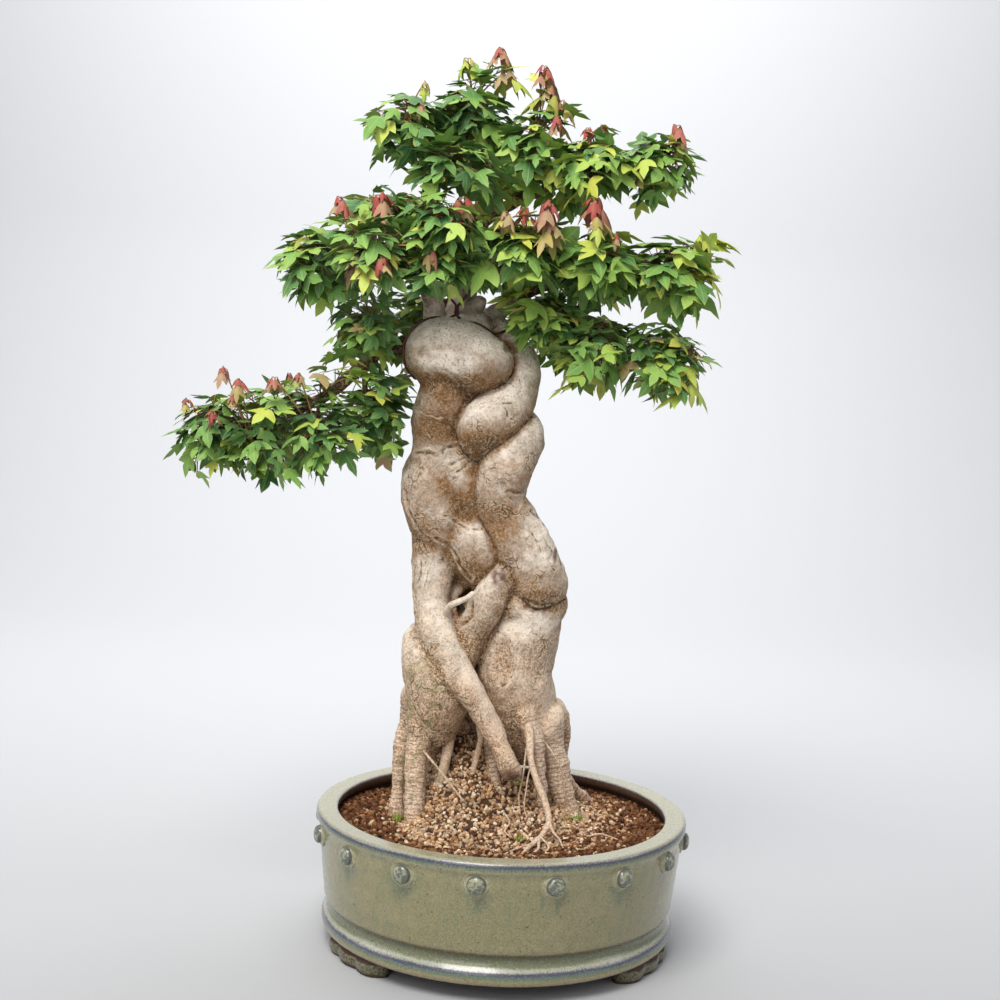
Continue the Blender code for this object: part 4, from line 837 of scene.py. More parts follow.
def grown_together(name, solids, voxel, passes):
    """Bars fused over a grid of voxels and smoothed; gives back points, normals and faces."""
    item = shaped(name, *joined(solids))
    fusing = item.modifiers.new("fusing", "REMESH")
    fusing.mode = "VOXEL"
    fusing.voxel_size = voxel * 0.001
    smoothing = item.modifiers.new("smoothing", "SMOOTH")
    smoothing.factor = 0.5
    smoothing.iterations = passes
    bpy.context.view_layer.update()
    skin = bpy.data.meshes.new_from_object(item.evaluated_get(bpy.context.evaluated_depsgraph_get()))
    points = np.empty(len(skin.vertices) * 3)
    skin.vertices.foreach_get("co", points)
    normals = np.empty(len(skin.vertices) * 3)
    skin.vertices.foreach_get("normal", normals)
    corners = np.empty(len(skin.loops), int)
    skin.loops.foreach_get("vertex_index", corners)
    bpy.data.objects.remove(item, do_unlink=True)
    return points.reshape(-1, 3) * 1000 - POT_AXIS, normals.reshape(-1, 3), corners.reshape(-1, 4)


def strand_gaps(points, curves):
    """For every point and strand: the gap to its skin, the way out of it, and how far along it lies."""
    gaps, ways, reaches = [], [], []
    for curve in curves:
        squares = ((points ** 2).sum(1)[:, None] - 2 * points @ curve[:, :3].T
                   + (curve[:, :3] ** 2).sum(1))
        away = np.sqrt(np.maximum(squares, 1e-6)) - curve[:, 3]
        nearest = away.argmin(1)
        steps = np.linalg.norm(np.diff(curve[:, :3], axis=0), axis=1)
        reaches.append(np.concatenate([[0], np.cumsum(steps)])[nearest])
        gaps.append(away.min(1))
        ways.append(unit(points - curve[nearest, :3]))
    return np.stack(gaps, 1), np.stack(ways, 1), np.stack(reaches, 1)


def fused_gaps(gaps, ways, groups):
    """Gap to each group of strands that have grown into one, and the way out of it.

    The gap is minus the reach times the logarithm of the sum of exp(-gap / reach). The way is the sum of
    the strands' ways, each weighed by its share of that sum.
    """
    shares = [np.exp(-gaps[:, members] / FUSE_REACH) for members in groups]
    group_gaps = np.stack([-FUSE_REACH * np.log(share.sum(1)) for share in shares], 1)
    group_ways = np.stack([np.einsum("ij,ijk->ik", share / share.sum(1, keepdims=True), ways[:, members])
                           for share, members in zip(shares, groups)], 1)
    return group_gaps, group_ways


def relaxed(points, quads, passes):
    """Each point moved half way to the middle of its neighbours, a number of times."""
    near = np.concatenate([quads.ravel(), np.roll(quads, -1, 1).ravel()])
    far = np.concatenate([np.roll(quads, -1, 1).ravel(), quads.ravel()])
    count = np.bincount(near, minlength=len(points))[:, None]
    for _ in range(passes):
        sums = np.stack([np.bincount(near, points[far, axis], len(points)) for axis in range(3)], 1)
        points = (points + sums / count) / 2
    return points


def smooth_step(value, low, high):
    """0 below low, 1 above high, and a smooth S between."""
    share = np.clip((value - low) / (high - low), 0, 1)
    return share * share * (3 - 2 * share)


def oval_reach(points, centre, half_width, half_height):
    """How far out of an oval on the front of the trunk a point lies: 1 on its edge."""
    away = points - np.array(centre, float)
    out = np.linalg.norm(np.stack([away[:, 0] / half_width, away[:, 2] / half_height], 1), axis=1)
    return out + 9.0 * smooth_step(np.abs(away[:, 1]), 24.0, 34.0)


def line_reach(points, line):
    """Distance in the front view to a curve: to the nearest place of each of its short stretches."""
    flat = points[:, [0, 2]]
    line = curve_through([(x, z, 1.0) for x, z in line], 4)[:, :2]
    nearest = np.full(len(points), 99.0)
    for start, end in zip(line[:-1], line[1:]):
        share = np.clip((flat - start) @ (end - start) / ((end - start) ** 2).sum(), 0, 1)
        away = flat - start - share[:, None] * (end - start)
        nearest = np.minimum(nearest, np.linalg.norm(away, axis=1))
    return nearest


def blend(share, first, second):
    """A share of the first colour with the rest of the second, worked out in plain numbers."""
    return tuple(share * one + (1 - share) * other for one, other in zip(first, second))


def dimmed(share, colour):
    """A colour at a share of its light."""
    return tuple(share * value for value in colour)


def bark(name, pale, warm, dark, root_tan):
    """Smooth maple bark, stippled and cracked: pale and grey above, warm brown below, partly its own colour
    and partly painted shade where the skin faces down; painted shade darkens the creases.

    It reads values on the mesh: seam (painted shade, 10 less the millimetres to the next strand,
    and 10 in holes), mark (8 less those to a crack), root, shade (1 where the skin faces down), stain, and
    along (millimetres along a strand).
    """
    wood = Finish(name, Specular_IOR_Level=0.35)
    spot, (x, _, z) = wood.place()
    seam, mark, root, shade, stain, along = (
        wood.carried(value) for value in ("seam", "mark", "root", "shade", "stain", "along"))

    # Ground colours: two ramps over the darkness of a place, one above and one for the roots. The
    # darkness is partly painted shade: it rises where the skin faces down and near creases and holes.
    patch = wood.grain(spot, 26.0, 4.0, 0.6)
    mottle = wood.grain(spot, 7.0, 4.0, 0.65)
    stipple = wood.grain(spot, 2.6, 3.0, 0.75)
    lower = 1 - wood.ease(z + (patch - 0.5) * 60.0, 205.0, 320.0)
    # Painted shade: the tone darkens towards creases and holes.
    crease_shade_tone = wood.ease(seam + (mottle - 0.5) * 4.0, 0.0, 10.0)
    tone = shade + crease_shade_tone * 0.4 + (patch - 0.5) * 0.6 + (mottle - 0.5) * 0.5 + (stipple - 0.5) * 0.55 + 0.07
    tan = blend(0.34, pale, warm)
    root_warm = dimmed(0.52, root_tan)
    upper_stops = [(0.24, pale), (0.43, tan), (0.66, warm), (0.92, dimmed(0.5, warm))]
    lower_stops = [(0.2, blend(0.4, pale, root_tan)), (0.42, root_tan), (0.66, root_warm),
                   (0.92, dimmed(0.5, root_warm))]
    upper_bark = wood.ramp(tone / 1.3, upper_stops)
    lower_bark = wood.ramp(tone / 1.3, lower_stops)
    body = wood.mix(lower, upper_bark, lower_bark)
    dim = wood.ease(tone, 0.5, 0.85)
    silver = wood.ease(wood.grain(spot, 17.0, 3.0), 0.48, 0.62) * (1 - dim) * wood.ease(z, 215.0, 245.0)
    body = wood.mix(silver * 0.45, body, (0.38, 0.335, 0.28))

    # Stipple, pale veins, rings round the roots and moss.
    crumb = wood.mix(dim, blend(0.8, pale, tan), (0.46, 0.315, 0.18))
    body = wood.mix(wood.ease(stipple, 0.53, 0.6) * (0.55 + dim * 0.25), body, crumb)
    body = wood.mix(wood.ease(stipple, 0.48, 0.39) * (0.55 + dim * 0.2), body, dimmed(0.8, warm))
    vein = wood.function("ABSOLUTE", wood.grain(spot, 3.6, 2.0, 0.5) - 0.5)
    flecked = 1 - wood.ease(z + (patch - 0.5) * 80.0, 290.0, 400.0) * 0.8
    lines = (1 - wood.ease(vein, 0.018, 0.065)) * (0.72 + root * 0.28) * flecked
    body = wood.mix(lines * 0.85, body, (0.88, 0.68, 0.48))
    wave = wood.function("SINE", along * 1.36 + (mottle - 0.5) * 6.0)
    ring = wood.ease(wave, 0.45, 1.0) * wood.ease(root, 0.5, 1.0)
    body = wood.mix(ring * 0.62, body, (0.22, 0.105, 0.062))
    damp = (1 - wood.ease(z, 250.0, 310.0)) * (1 - wood.ease(x, -74.0, -40.0))
    moss = wood.ease(wood.grain(spot, 13.0, 3.0), 0.5, 0.64) * damp
    body = wood.mix(moss * 0.55, body, (0.235, 0.235, 0.10))

    # Cracks: a net of warped cells where the bark is scaly, and the marks with their pale lips.
    swirl = wood.node("ShaderNodeTexNoise", {}, {"Vector": spot, "Scale": 0.12, "Detail": 2.0}, 1)
    push = wood.node("ShaderNodeVectorMath", {"operation": "SCALE"}, {0: swirl, "Scale": 14.0})
    cell = wood.node("ShaderNodeVectorMath", {"operation": "ADD"}, {0: spot, 1: push})
    edge = wood.node("ShaderNodeTexVoronoi", {"feature": "DISTANCE_TO_EDGE"},
                     {"Vector": cell, "Scale": 1 / 11.0})
    scaly = wood.ease(wood.grain(spot, 24.0, 2.0), 0.5, 0.62) * wood.ease(tone, 0.35, 0.6)
    split = (1 - wood.ease(edge, 0.01, 0.05)) * scaly
    plate = wood.ease(edge, 0.05, 0.12) * (1 - wood.ease(edge, 0.12, 0.26)) * scaly
    broken = wood.ease(wood.grain(spot, 5.0, 2.0), 0.36, 0.5)
    ragged_mark = mark + (mottle - 0.5) * 3.0 + (stipple - 0.5) * 2.0
    crack = 1 - (1 - wood.ease(ragged_mark, 7.0, 7.9) * broken) * (1 - split * 0.8)
    # Painted shadow: creases and holes darkened towards the dark colour.
    crease_shadow = wood.ease(seam + (mottle - 0.5) * 2.0, 8.7, 9.8)
    lip = wood.ease(mark, 4.6, 6.2) * (1 - wood.ease(mark, 6.2, 7.2))
    flake = 1 - (1 - lip * wood.ease(mottle, 0.42, 0.55)) * (1 - plate * 0.7)
    body = wood.mix(flake * 0.5, body, (0.78, 0.64, 0.46))
    body = wood.mix(crack * 0.75, body, dimmed(0.28, warm))
    body = wood.mix(crease_shadow * 0.92, body, dark)
    body = wood.mix(stain * 0.85, body, (0.10, 0.035, 0.018))
    wood.feed("Base Color", body)
    wood.feed("Roughness", 0.44 + dim * 0.36 + mottle * 0.12)
    rough = mottle * 0.45 + stipple * (0.6 + dim * 0.35)
    wood.relief(rough - crack * 0.55 - ring * 0.25 + lines * 0.12 + flake * 0.25, 1.5)
    return wood.material


wood_names = [*STRANDS, *ROOTS]
wood_places = [*STRANDS.values(), *ROOTS.values()]
strand_curves = [curve_through(places, 10) for places in wood_places]
joined_names = [name for members in FUSED.values() for name in members]
strand_groups = [[wood_names.index(name) for name in members] for members in FUSED.values()]
strand_groups += [[number] for number, name in enumerate(wood_names) if name not in joined_names]
wood_solids = [strand_bar(places) for places in wood_places]
skin, _, wood_quads = grown_together("trunk_strands", wood_solids, WOOD_VOXEL, 3)
row = np.arange(len(skin))

# The bars' fused grid is laid on the skin of the groups: four steps, each as long as the gap.
for _ in range(4):
    group_gaps, group_ways = fused_gaps(*strand_gaps(skin, strand_curves)[:2], strand_groups)
    nearest_group = group_gaps.argmin(1)
    way = group_ways[row, nearest_group]
    step = group_gaps[row, nearest_group] / np.maximum((way ** 2).sum(1), 0.35)
    skin = skin - way * np.clip(step, -5, 5)[:, None]
skin = relaxed(skin, wood_quads, 2)

# What each point is near: its group and the next one, its strand, the roots, the front.
each_gap, each_way, each_reach = strand_gaps(skin, strand_curves)
group_gaps, group_ways = fused_gaps(each_gap, each_way, strand_groups)
nearest_group = group_gaps.argmin(1)
skin_way = unit(group_ways[row, nearest_group])
two_gaps = np.partition(group_gaps, 1, axis=1)
seam_width = two_gaps[:, 1] - two_gaps[:, 0]
nearest_strand = each_gap.argmin(1)
wood_along = each_reach[row, nearest_strand]
root_lead = each_gap[:, :len(STRANDS)].min(1) - each_gap[:, len(STRANDS):].min(1)
wood_root = np.maximum(smooth_step(root_lead, -9.0, 12.0), 1 - smooth_step(skin[:, 2], 170, 235))
front = smooth_step(-skin_way[:, 1], -0.15, 0.15) * (skin[:, 1] < FRONT_DEPTH)
two_strands = np.partition(each_gap, 1, axis=1)
inner_seam = two_strands[:, 1] - two_strands[:, 0]
patchy = lattice_noise(skin, 30.0, 15)
# Painted shade along the faint creases between strands of one group.
soft_crease_shade = np.clip(7 - 0.6 * inner_seam, 0, 7) * (0.4 + 0.6 * smooth_step(patchy, -0.6, 0.3))
end_torn = np.zeros(len(skin))
for centre, size in TORN_ENDS:
    from_end = np.linalg.norm(skin - np.array(centre, float), axis=1)
    end_torn = np.maximum(end_torn, 1 - smooth_step(from_end, 0.45 * size, 1.25 * size))
wobble = np.zeros_like(skin)
for axis, seed in ((0, 21), (2, 22)):
    wobble[:, axis] = 1.6 * lattice_noise(skin, 6.0, seed)

# Relief in millimetres out of the skin: lumps, rings round the roots, creases and the lips beside
# them, torn ends, scars and cracks.
lift = sum(height * lattice_noise(skin, size, seed)
           for height, size, seed in ((2.3, 27.0, 1), (1.2, 10.0, 2), (0.38, 3.6, 5)))
ring_turn = 2 * np.pi * wood_along / ROOT_RING_PITCH + 2.0 * lattice_noise(skin, 14.0, 7)
lift += 0.32 * np.sin(ring_turn) * wood_root
lift -= (1.5 + 0.9 * lattice_noise(skin, 26.0, 9)) * np.exp(-seam_width / 2.4)
lift += end_torn * (2.0 * lattice_noise(skin, 5.5, 31) + 1.1 * lattice_noise(skin, 2.6, 32) - 1.2)
lift -= (3.0 + 1.4 * patchy) * np.exp(-inner_seam / 6.0) * smooth_step(seam_width, 4.0, 14.0)
lift += 0.9 * np.exp(-((seam_width - 9.0) / 5.0) ** 2)
sunk = np.zeros(len(skin))
for centre, half_width, half_height, rim, depth in SCARS:
    out = oval_reach(skin + 1.8 * wobble, centre, half_width, half_height)
    lift += front * (rim * np.exp(-((out - 1.08) / 0.2) ** 2) - depth * (1 - smooth_step(out, 0.5, 1.0)))
    sunk = np.maximum(sunk, front * (1 - smooth_step(out, 0.7, 1.0)))
mark_reach = np.full(len(skin), 99.0)
for width, line in MARKS:
    reach = line_reach(skin + wobble, line)
    mark_reach = np.where(front > 0.5, np.minimum(mark_reach, reach / width), mark_reach)
    lift += front * width * (0.75 * np.exp(-((reach - 3.4) / 1.9) ** 2) - 1.0 * np.exp(-(reach / 1.6) ** 2))
bark_points = skin + skin_way * lift[:, None]
in_crease = 1 - smooth_step(seam_width, 1.5, 6.0)[:, None]
bark_points = bark_points + in_crease * (relaxed(bark_points, wood_quads, 5) - bark_points)

# What the bark's finish reads: stains and torn wood; painted shade where the skin faces down, painted
# light in patches, and painted shade in creases and holes.
wood_stain = end_torn * smooth_step(lattice_noise(skin, 4.2, 33), -0.45, 0.1)
for centre, half_width, half_height in STAINS:
    stained = 1 - smooth_step(oval_reach(skin, centre, half_width, half_height), 0.5, 1.3)
    wood_stain = np.maximum(wood_stain, front * stained)
# Partly painted shade: darker where the skin faces down; the pale-to-brown change is also the bark's own
# colour. It is darker inside the sunk scars too.
skin_shade = 0.5 - 0.5 * skin_way[:, 2] + 0.2 * sunk
# Painted highlights and painted shade, patch by patch.
for centre, half_width, half_height, change in PAINTED_LIGHT_PATCHES:
    out = oval_reach(skin + 3 * wobble, centre, half_width, half_height)
    skin_shade += change * front * (1 - smooth_step(out, 0.2, 1.15))
trunk_body = shaped("trunk_body", bark_points, [wood_quads])
# Painted shade in the creases, and painted shadow filling the holes.
crease_shade_reach = np.maximum(np.clip(10 - seam_width, 0, 10), soft_crease_shade)
for centre, half_width, half_height in SHADED_HOLES:
    hole = 1 - smooth_step(oval_reach(skin, centre, half_width, half_height), 0.7, 1.2)
    crease_shade_reach = np.maximum(crease_shade_reach, 10 * front * hole)
note(trunk_body, "seam", crease_shade_reach)
note(trunk_body, "mark", np.clip(8 - mark_reach, 0, 8))
note(trunk_body, "root", wood_root)
note(trunk_body, "shade", skin_shade)
note(trunk_body, "stain", wood_stain)
note(trunk_body, "along", wood_along)
# dark is the colour of the painted shadow in creases and holes.
bark_finish = bark("maple_bark", pale=(0.84, 0.755, 0.65), warm=(0.225, 0.108, 0.036),
                   dark=(0.03, 0.013, 0.006), root_tan=(0.50, 0.31, 0.185))
trunk_body.data.materials.append(bark_finish)
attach(trunk_body, "root")
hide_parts("trunk")

# Thin roots. Bare aerial roots and straws that hang from the trunk or cross the grit: each is
# a tapered round bar grown out of the wood, pinkish tan with pale flecks.
THIN_ROOTS = {
    "green": [(-48, 40, 222, 7), (-50, 32, 212, 6.6), (-55, 22, 198, 6), (-58, 14, 177, 5.2),
              (-62, 9, 154, 4.6), (-64, 6, 136, 4.2)],
    "curled": [(-34, 24, 250, 5), (-27, 12, 216, 3.2), (-24, 10, 200, 3), (-26, 12, 186, 3),
               (-31, 14, 158, 3), (-32, 15, 134, 3)],
    "hanging": [(22, 8, 222, 5), (25, -2, 209, 4.4), (27, -16, 187, 3.4), (34, -28, 168, 3.3),
                (43, -40, 150, 3.3), (46, -54, 136, 3.1), (40, -70, 128, 2.9), (31, -84, 123, 2.4),
                (22, -100, 119, 1.6), (17, -112, 117, 0.8)],
    "straw": [(-94, 2, 201, 1.5), (-62, -12, 170, 1.3), (-33, -24, 138, 1.2)],
    "aerial": [(-66, 12, 322, 3.6), (-64, 1, 329, 3.4), (-60, -6, 336, 3.2), (-51, -10, 341, 3.1),
               (-43, -11, 345, 3.0), (-38, -10, 349, 2.9), (-36.5, -9.5, 350.2, 2.0),
               (-36, -9, 350.6, 0.8)],
    "hanging_fork": [(46, -54, 137, 2.0), (50, -64, 130, 1.4), (57, -72, 124, 1.0), (60, -84, 120, 0.6)],
    "hanging_tip": [(36, -78, 126, 1.8), (36, -92, 122, 1.3), (30, -106, 119, 0.9), (31, -118, 117, 0.5)],
    "hanging_hair": [(30, -86, 123, 1.2), (18, -94, 122, 0.9), (8, -104, 120, 0.7), (2, -106, 118, 0.5)],
    "hanging_curl": [(38, -74, 127, 1.2), (46, -88, 122, 0.9), (42, -100, 120, 0.7), (46, -110, 117, 0.4)],
    "right_fine": [(24, 6, 214, 1.2), (21, -8, 180, 0.9), (17, -20, 150, 0.7), (19, -26, 134, 0.5)],
    "right_finer": [(28, 4, 208, 1.0), (26, -14, 176, 0.8), (22, -24, 146, 0.6), (25, -34, 132, 0.5)],
    "leg_line": [(30, 14, 212, 1.2), (48, 10, 190, 1.0), (60, 12, 168, 0.8), (64, 16, 140, 0.7)],
    "ground_left": [(2, -40, 140, 0.9), (8, -52, 134, 0.8), (4, -64, 128, 0.7), (10, -74, 125, 0.5)],
    "ground_right": [(84, -40, 119, 1.0), (98, -36, 121, 0.9), (112, -42, 119, 0.7), (122, -52, 118, 0.5)],
}
root_solids = []
for places in THIN_ROOTS.values():
    thin_curve = curve_through(places, 10)
    root_solids.append(bars(thin_curve[None, :, :3], thin_curve[None, :, 3], 12))
thin_points, thin_faces = joined(root_solids)
thin_lift = 0.45 * lattice_noise(thin_points, 7.0, 8)
thin_points = thin_points + np.column_stack([thin_lift, -thin_lift, 0 * thin_lift])
thin_roots = shaped("thin_roots", thin_points, thin_faces)
note(thin_roots, "root", np.full(len(thin_points), 0.45))
note(thin_roots, "shade", np.full(len(thin_points), 0.3))
thin_roots.data.materials.append(bark_finish)
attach(thin_roots, "root")
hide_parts("trunk")

# Limbs. Branches grown from the top of the trunk and trained sideways, grey-brown and a little
# knotty, forking into the wood that carries each pad of leaves.
LIMB_VOXEL = 1.3
# Places along the stem of a pad, and how many of them are fused with the limbs.
STEM_STEPS = 14
STEM_STEPS_IN_WOOD = 10
CROTCH = (-52, 48, 620)
LIMBS = {
    "low_left": [(-84, 44, 580, 13), (-97, 40, 585, 11), (-122, 30, 590, 9), (-143, 18, 583, 8),
                 (-159, 6, 566, 7), (-186, -4, 541, 5.9), (-219, -8, 522, 4.8), (-250, -8, 513, 3.8)],
    "mid_left": [(-70, 46, 596, 14), (-87, 40, 615, 12), (-92, 36, 637, 10), (-104, 24, 658, 7),
                 (-129, 10, 671, 5.6), (-160, 0, 679, 4)],
    "leader": [(-60, 48, 590, 18), (-66, 50, 617, 15), (-61, 50, 641, 13), (-56, 52, 671, 9),
               (-47, 50, 705, 7.5), (-49, 46, 744, 6.2), (-62, 42, 780, 4.6)],
    "nub": [(-58, 42, 622, 10), (-51, 32, 629, 8.5), (-43, 22, 636, 7)],
    "upper_right": [(-50, 50, 696, 6), (-47, 50, 714, 6), (-17, 44, 736, 5.8), (17, 36, 752, 5),
                    (57, 28, 765, 4.2), (84, 22, 771, 3.6)],
    "mid_right": [(-45, 54, 592, 13), (-37, 52, 614, 11), (-12, 44, 641, 8), (23, 34, 658, 6.2),
                  (59, 20, 672, 4.8), (92, 8, 683, 3.8)],
    "low_right": [(-28, 54, 600, 10), (-10, 58, 615, 9), (21, 56, 627, 7), (59, 50, 626, 5.4),
                  (96, 40, 615, 4)],
    "front": [(-61, 52, 640, 8), (-59, 34, 652, 8), (-57, 8, 668, 6), (-57, -24, 682, 4.4)],
    "back": [(-56, 54, 652, 8.5), (-50, 66, 664, 8), (-45, 92, 686, 6), (-43, 116, 697, 4.4)],
    "back_low": [(-48, 60, 606, 10), (-44, 74, 622, 9), (-56, 100, 640, 6.4), (-72, 118, 642, 4.4)],
}
# Pads of leaves: the limb that carries each, where along it, the pad's centre and its half sizes.
PADS = {
    "low_left_tip": ("low_left", 1.0, (-295, -8, 501), (36, 50, 47)),
    "low_left_outer": ("low_left", 0.80, (-249, -22, 490), (36, 48, 44)),
    "low_left_back": ("low_left", 0.62, (-241, 75, 509), (50, 42, 39)),
    "low_left_mid": ("low_left", 0.66, (-189, -22, 500), (35, 46, 42)),
    "low_left_inner": ("low_left", 0.36, (-146, 34, 517), (28, 46, 42)),
    "shoulder_left": ("low_left", 0.26, (-146, -6, 612), (38, 44, 28)),
    "mid_left_outer": ("mid_left", 1.0, (-203, -5, 665), (40, 52, 43)),
    "mid_left_front": ("mid_left", 0.70, (-145, -65, 677), (39, 40, 35)),
    "mid_left_upper": ("mid_left", 0.76, (-142, 25, 722), (44, 48, 32)),
    "mid_left_back": ("mid_left", 0.58, (-171, 100, 669), (50, 45, 39)),
    "centre_front": ("front", 1.0, (-77, -66, 705), (36, 42, 34)),
    "centre_low": ("front", 0.72, (-84, -48, 664), (34, 38, 18)),
    "top_left": ("leader", 0.90, (-123, 30, 804), (38, 52, 45)),
    "top_mid": ("leader", 1.0, (-60, 40, 820), (38, 50, 42)),
    "top_front": ("leader", 0.80, (-74, -45, 758), (45, 42, 30)),
    "top_back": ("leader", 0.84, (-72, 115, 807), (52, 45, 44)),
    "upper_right_inner": ("upper_right", 0.40, (-2, 16, 786), (41, 50, 37)),
    "upper_right_mid": ("upper_right", 0.66, (60, 4, 774), (36, 48, 33)),
    "upper_right_tip": ("upper_right", 1.0, (120, 15, 777), (34, 45, 33)),
    "upper_right_back": ("upper_right", 0.52, (32, 105, 774), (54, 45, 37)),
    "mid_right_inner": ("mid_right", 0.42, (-5, -42, 687), (38, 44, 36)),
    "mid_right_mid": ("mid_right", 0.66, (63, -16, 678), (38, 48, 31)),
    "mid_right_outer": ("mid_right", 1.0, (135, 0, 672), (36, 50, 38)),
    "mid_right_back": ("mid_right", 0.62, (68, 110, 678), (59, 46, 42)),
    "low_right_inner": ("low_right", 0.34, (24, 8, 622), (34, 42, 32)),
    "low_right_mid": ("low_right", 0.72, (69, 12, 594), (36, 48, 42)),
    "low_right_outer": ("low_right", 1.0, (134, 24, 590), (40, 50, 42)),
    "low_right_back": ("low_right", 0.54, (53, 120, 605), (55, 42, 40)),
    "back_mid": ("back", 1.0, (-48, 162, 692), (52, 42, 43)),
    "back_low": ("back_low", 1.0, (-101, 146, 630), (47, 40, 36)),
}


def limb_place(limb, share):
    """Place, direction and radius at a share of a limb's length."""
    curve = curve_through(LIMBS[limb], 8)
    reach = np.concatenate([[0], np.cumsum(np.linalg.norm(np.diff(curve[:, :3], axis=0), axis=1))])
    at = share * reach[-1]
    before, here, after = (np.array([np.interp(place, reach, curve[:, axis]) for axis in range(4)])
                           for place in (max(at - 6, 0), at, min(at + 6, reach[-1])))
    along = (after - before)[:3]
    return here[:3], along / np.linalg.norm(along), here[3]


def bowed(start, bend, end, steps):
    """Quadratic curves from start to end, drawn towards bend.

    At a share t of the way, the three places count for (1-t)^2, t^2 and 2t(1-t) of the point.
    """
    share = np.linspace(0, 1, steps)[:, None]
    start, bend, end = (np.atleast_2d(part)[:, None] for part in (start, bend, end))
    return (1 - share) ** 2 * start + 2 * share * (1 - share) * bend + share ** 2 * end


def pad_stem(pad):
    """The stem of a pad: from its limb, along the limb's way, bowed into the middle of the pad."""
    limb, share, centre, half_sizes = PADS[pad]
    start, along, radius = limb_place(limb, share)
    middle = np.array(centre, float)
    way = (middle - start) / np.linalg.norm(middle - start)
    far = middle + way * min(half_sizes) * 0.45
    path = bowed(start, start + along * 0.35 * np.linalg.norm(far - start), far, STEM_STEPS)[0]
    width = min(radius * 0.75, 3.6)
    return path, np.linspace(width, 1.3, STEM_STEPS)


limb_solids = [strand_bar(places, 20) for places in LIMBS.values()]
stems = {pad: pad_stem(pad) for pad in PADS}
limb_solids += [bars(path[None, :STEM_STEPS_IN_WOOD], widths[None, :STEM_STEPS_IN_WOOD], 10)
                for path, widths in stems.values()]
limb_points, limb_normals, limb_quads = grown_together("limb_wood", limb_solids, LIMB_VOXEL, 2)
near_trunk = 1 - smooth_step(np.linalg.norm(limb_points - CROTCH, axis=1), 38, 66)
limb_lift = 0.7 * lattice_noise(limb_points, 9.0, 11) + 0.35 * lattice_noise(limb_points, 3.5, 12)
limb_lift += near_trunk * (1.6 * lattice_noise(limb_points, 12.0, 13)
                           + 0.5 * lattice_noise(limb_points, 5.0, 14))
limbs = shaped("limbs", limb_points + limb_normals * limb_lift[:, None], [limb_quads])
# Painted shade: darker where the limb faces down. Paler near the trunk, its own colour.
note(limbs, "shade", 0.84 - 0.2 * limb_normals[:, 2] - 0.6 * near_trunk)
limb_finish = bark("limb_bark", pale=(0.58, 0.50, 0.41), warm=(0.125, 0.062, 0.030),
                   dark=(0.04, 0.02, 0.012), root_tan=(0.28, 0.18, 0.11))
limbs.data.materials.append(limb_finish)
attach(limbs, "root")
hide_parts("trunk")

# Guy wire. Dark brown coated training wire of 2.4 mm, laid once round the head of the trunk on
# the bark, its ends twisted together and left as two tails.
WIRE_RADIUS = 1.2
WIRE_KNOT = (-73, 22, 630)
COIL_RADIUS = 1.15
COIL_RISE = 0.52
WIRE_ROUTE = [(-74, 24, 628), (-92, 6, 619), (-110, -1, 606), (-119, 0, 588), (-114, 3, 568),
              (-106, 20, 556), (-100, 54, 556), (-84, 90, 566), (-40, 108, 580), (2, 90, 592),
              (12, 58, 606), (-10, 22, 612), (-36, 6, 611), (-56, 12, 618), (-72, 24, 627)]
WIRE_TAILS = [[(0, 0, 8), (-4, -3, 13), (-14, -10, 22), (-26, -16, 31)],
              [(0, 0, 8), (4, -4, 12), (10, -8, 20), (15, -10, 27)]]
bark_tree = BVHTree.FromPolygons(bark_points.tolist(), wood_quads.tolist())


def laid_on_bark(places, clearance):
    """Each place moved to the nearest bark and a clearance off it."""
    spots = []
    for place in places:
        spot, normal, _, _ = bark_tree.find_nearest(Vector(place))
        away = Vector(place) - spot
        out = normal if away.dot(normal) <= 0 else away.normalized()
        spots.append(spot + out * clearance)
    return np.array(spots)


dense_route = curve_through([(*place, 1.0) for place in WIRE_ROUTE], 8)[:, :3]
wire_loop = laid_on_bark(dense_route, WIRE_RADIUS * 1.15)
wire_loop[1:-1] = (wire_loop[:-2] + 2 * wire_loop[1:-1] + wire_loop[2:]) / 4
wire_knot = laid_on_bark([WIRE_KNOT], 2.6)[0]
wire_loop[0], wire_loop[-1] = wire_knot, wire_knot + np.array([0.8, -0.8, 0.8])
wire_solids = [bars(wire_loop[None], np.full((1, len(wire_loop)), WIRE_RADIUS), 10)]
twist = np.linspace(0, 5 * np.pi, 40)
for number, tail in enumerate(WIRE_TAILS):
    turn = twist + number * np.pi
    coil = np.column_stack([COIL_RADIUS * np.cos(turn), COIL_RADIUS * np.sin(turn), twist * COIL_RISE])
    tail_curve = curve_through([(*place, 1.0) for place in tail], 8)[1:, :3]
    wire_way = wire_knot + np.vstack([coil, tail_curve])
    wire_solids.append(bars(wire_way[None], np.full((1, len(wire_way)), WIRE_RADIUS), 10))
wire = shaped("training_wire", *joined(wire_solids))
wire_finish = Finish("brown_coated_wire", Roughness=0.42)
wire_spot, _ = wire_finish.place()
wire_brown = wire_finish.mix(wire_finish.grain(wire_spot, 5.0), (0.06, 0.016, 0.013), (0.13, 0.036, 0.03))
wire_finish.feed("Base Color", wire_brown)
wire.data.materials.append(wire_finish.material)
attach(wire, "root")
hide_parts("guy_wire")

# Leaves. Three-lobed maple leaves in opposite pairs on thin reddish stalks, along fine shoots
# that fork from the stem of each pad: green and waxy above, paler below, young ones yellow or red.

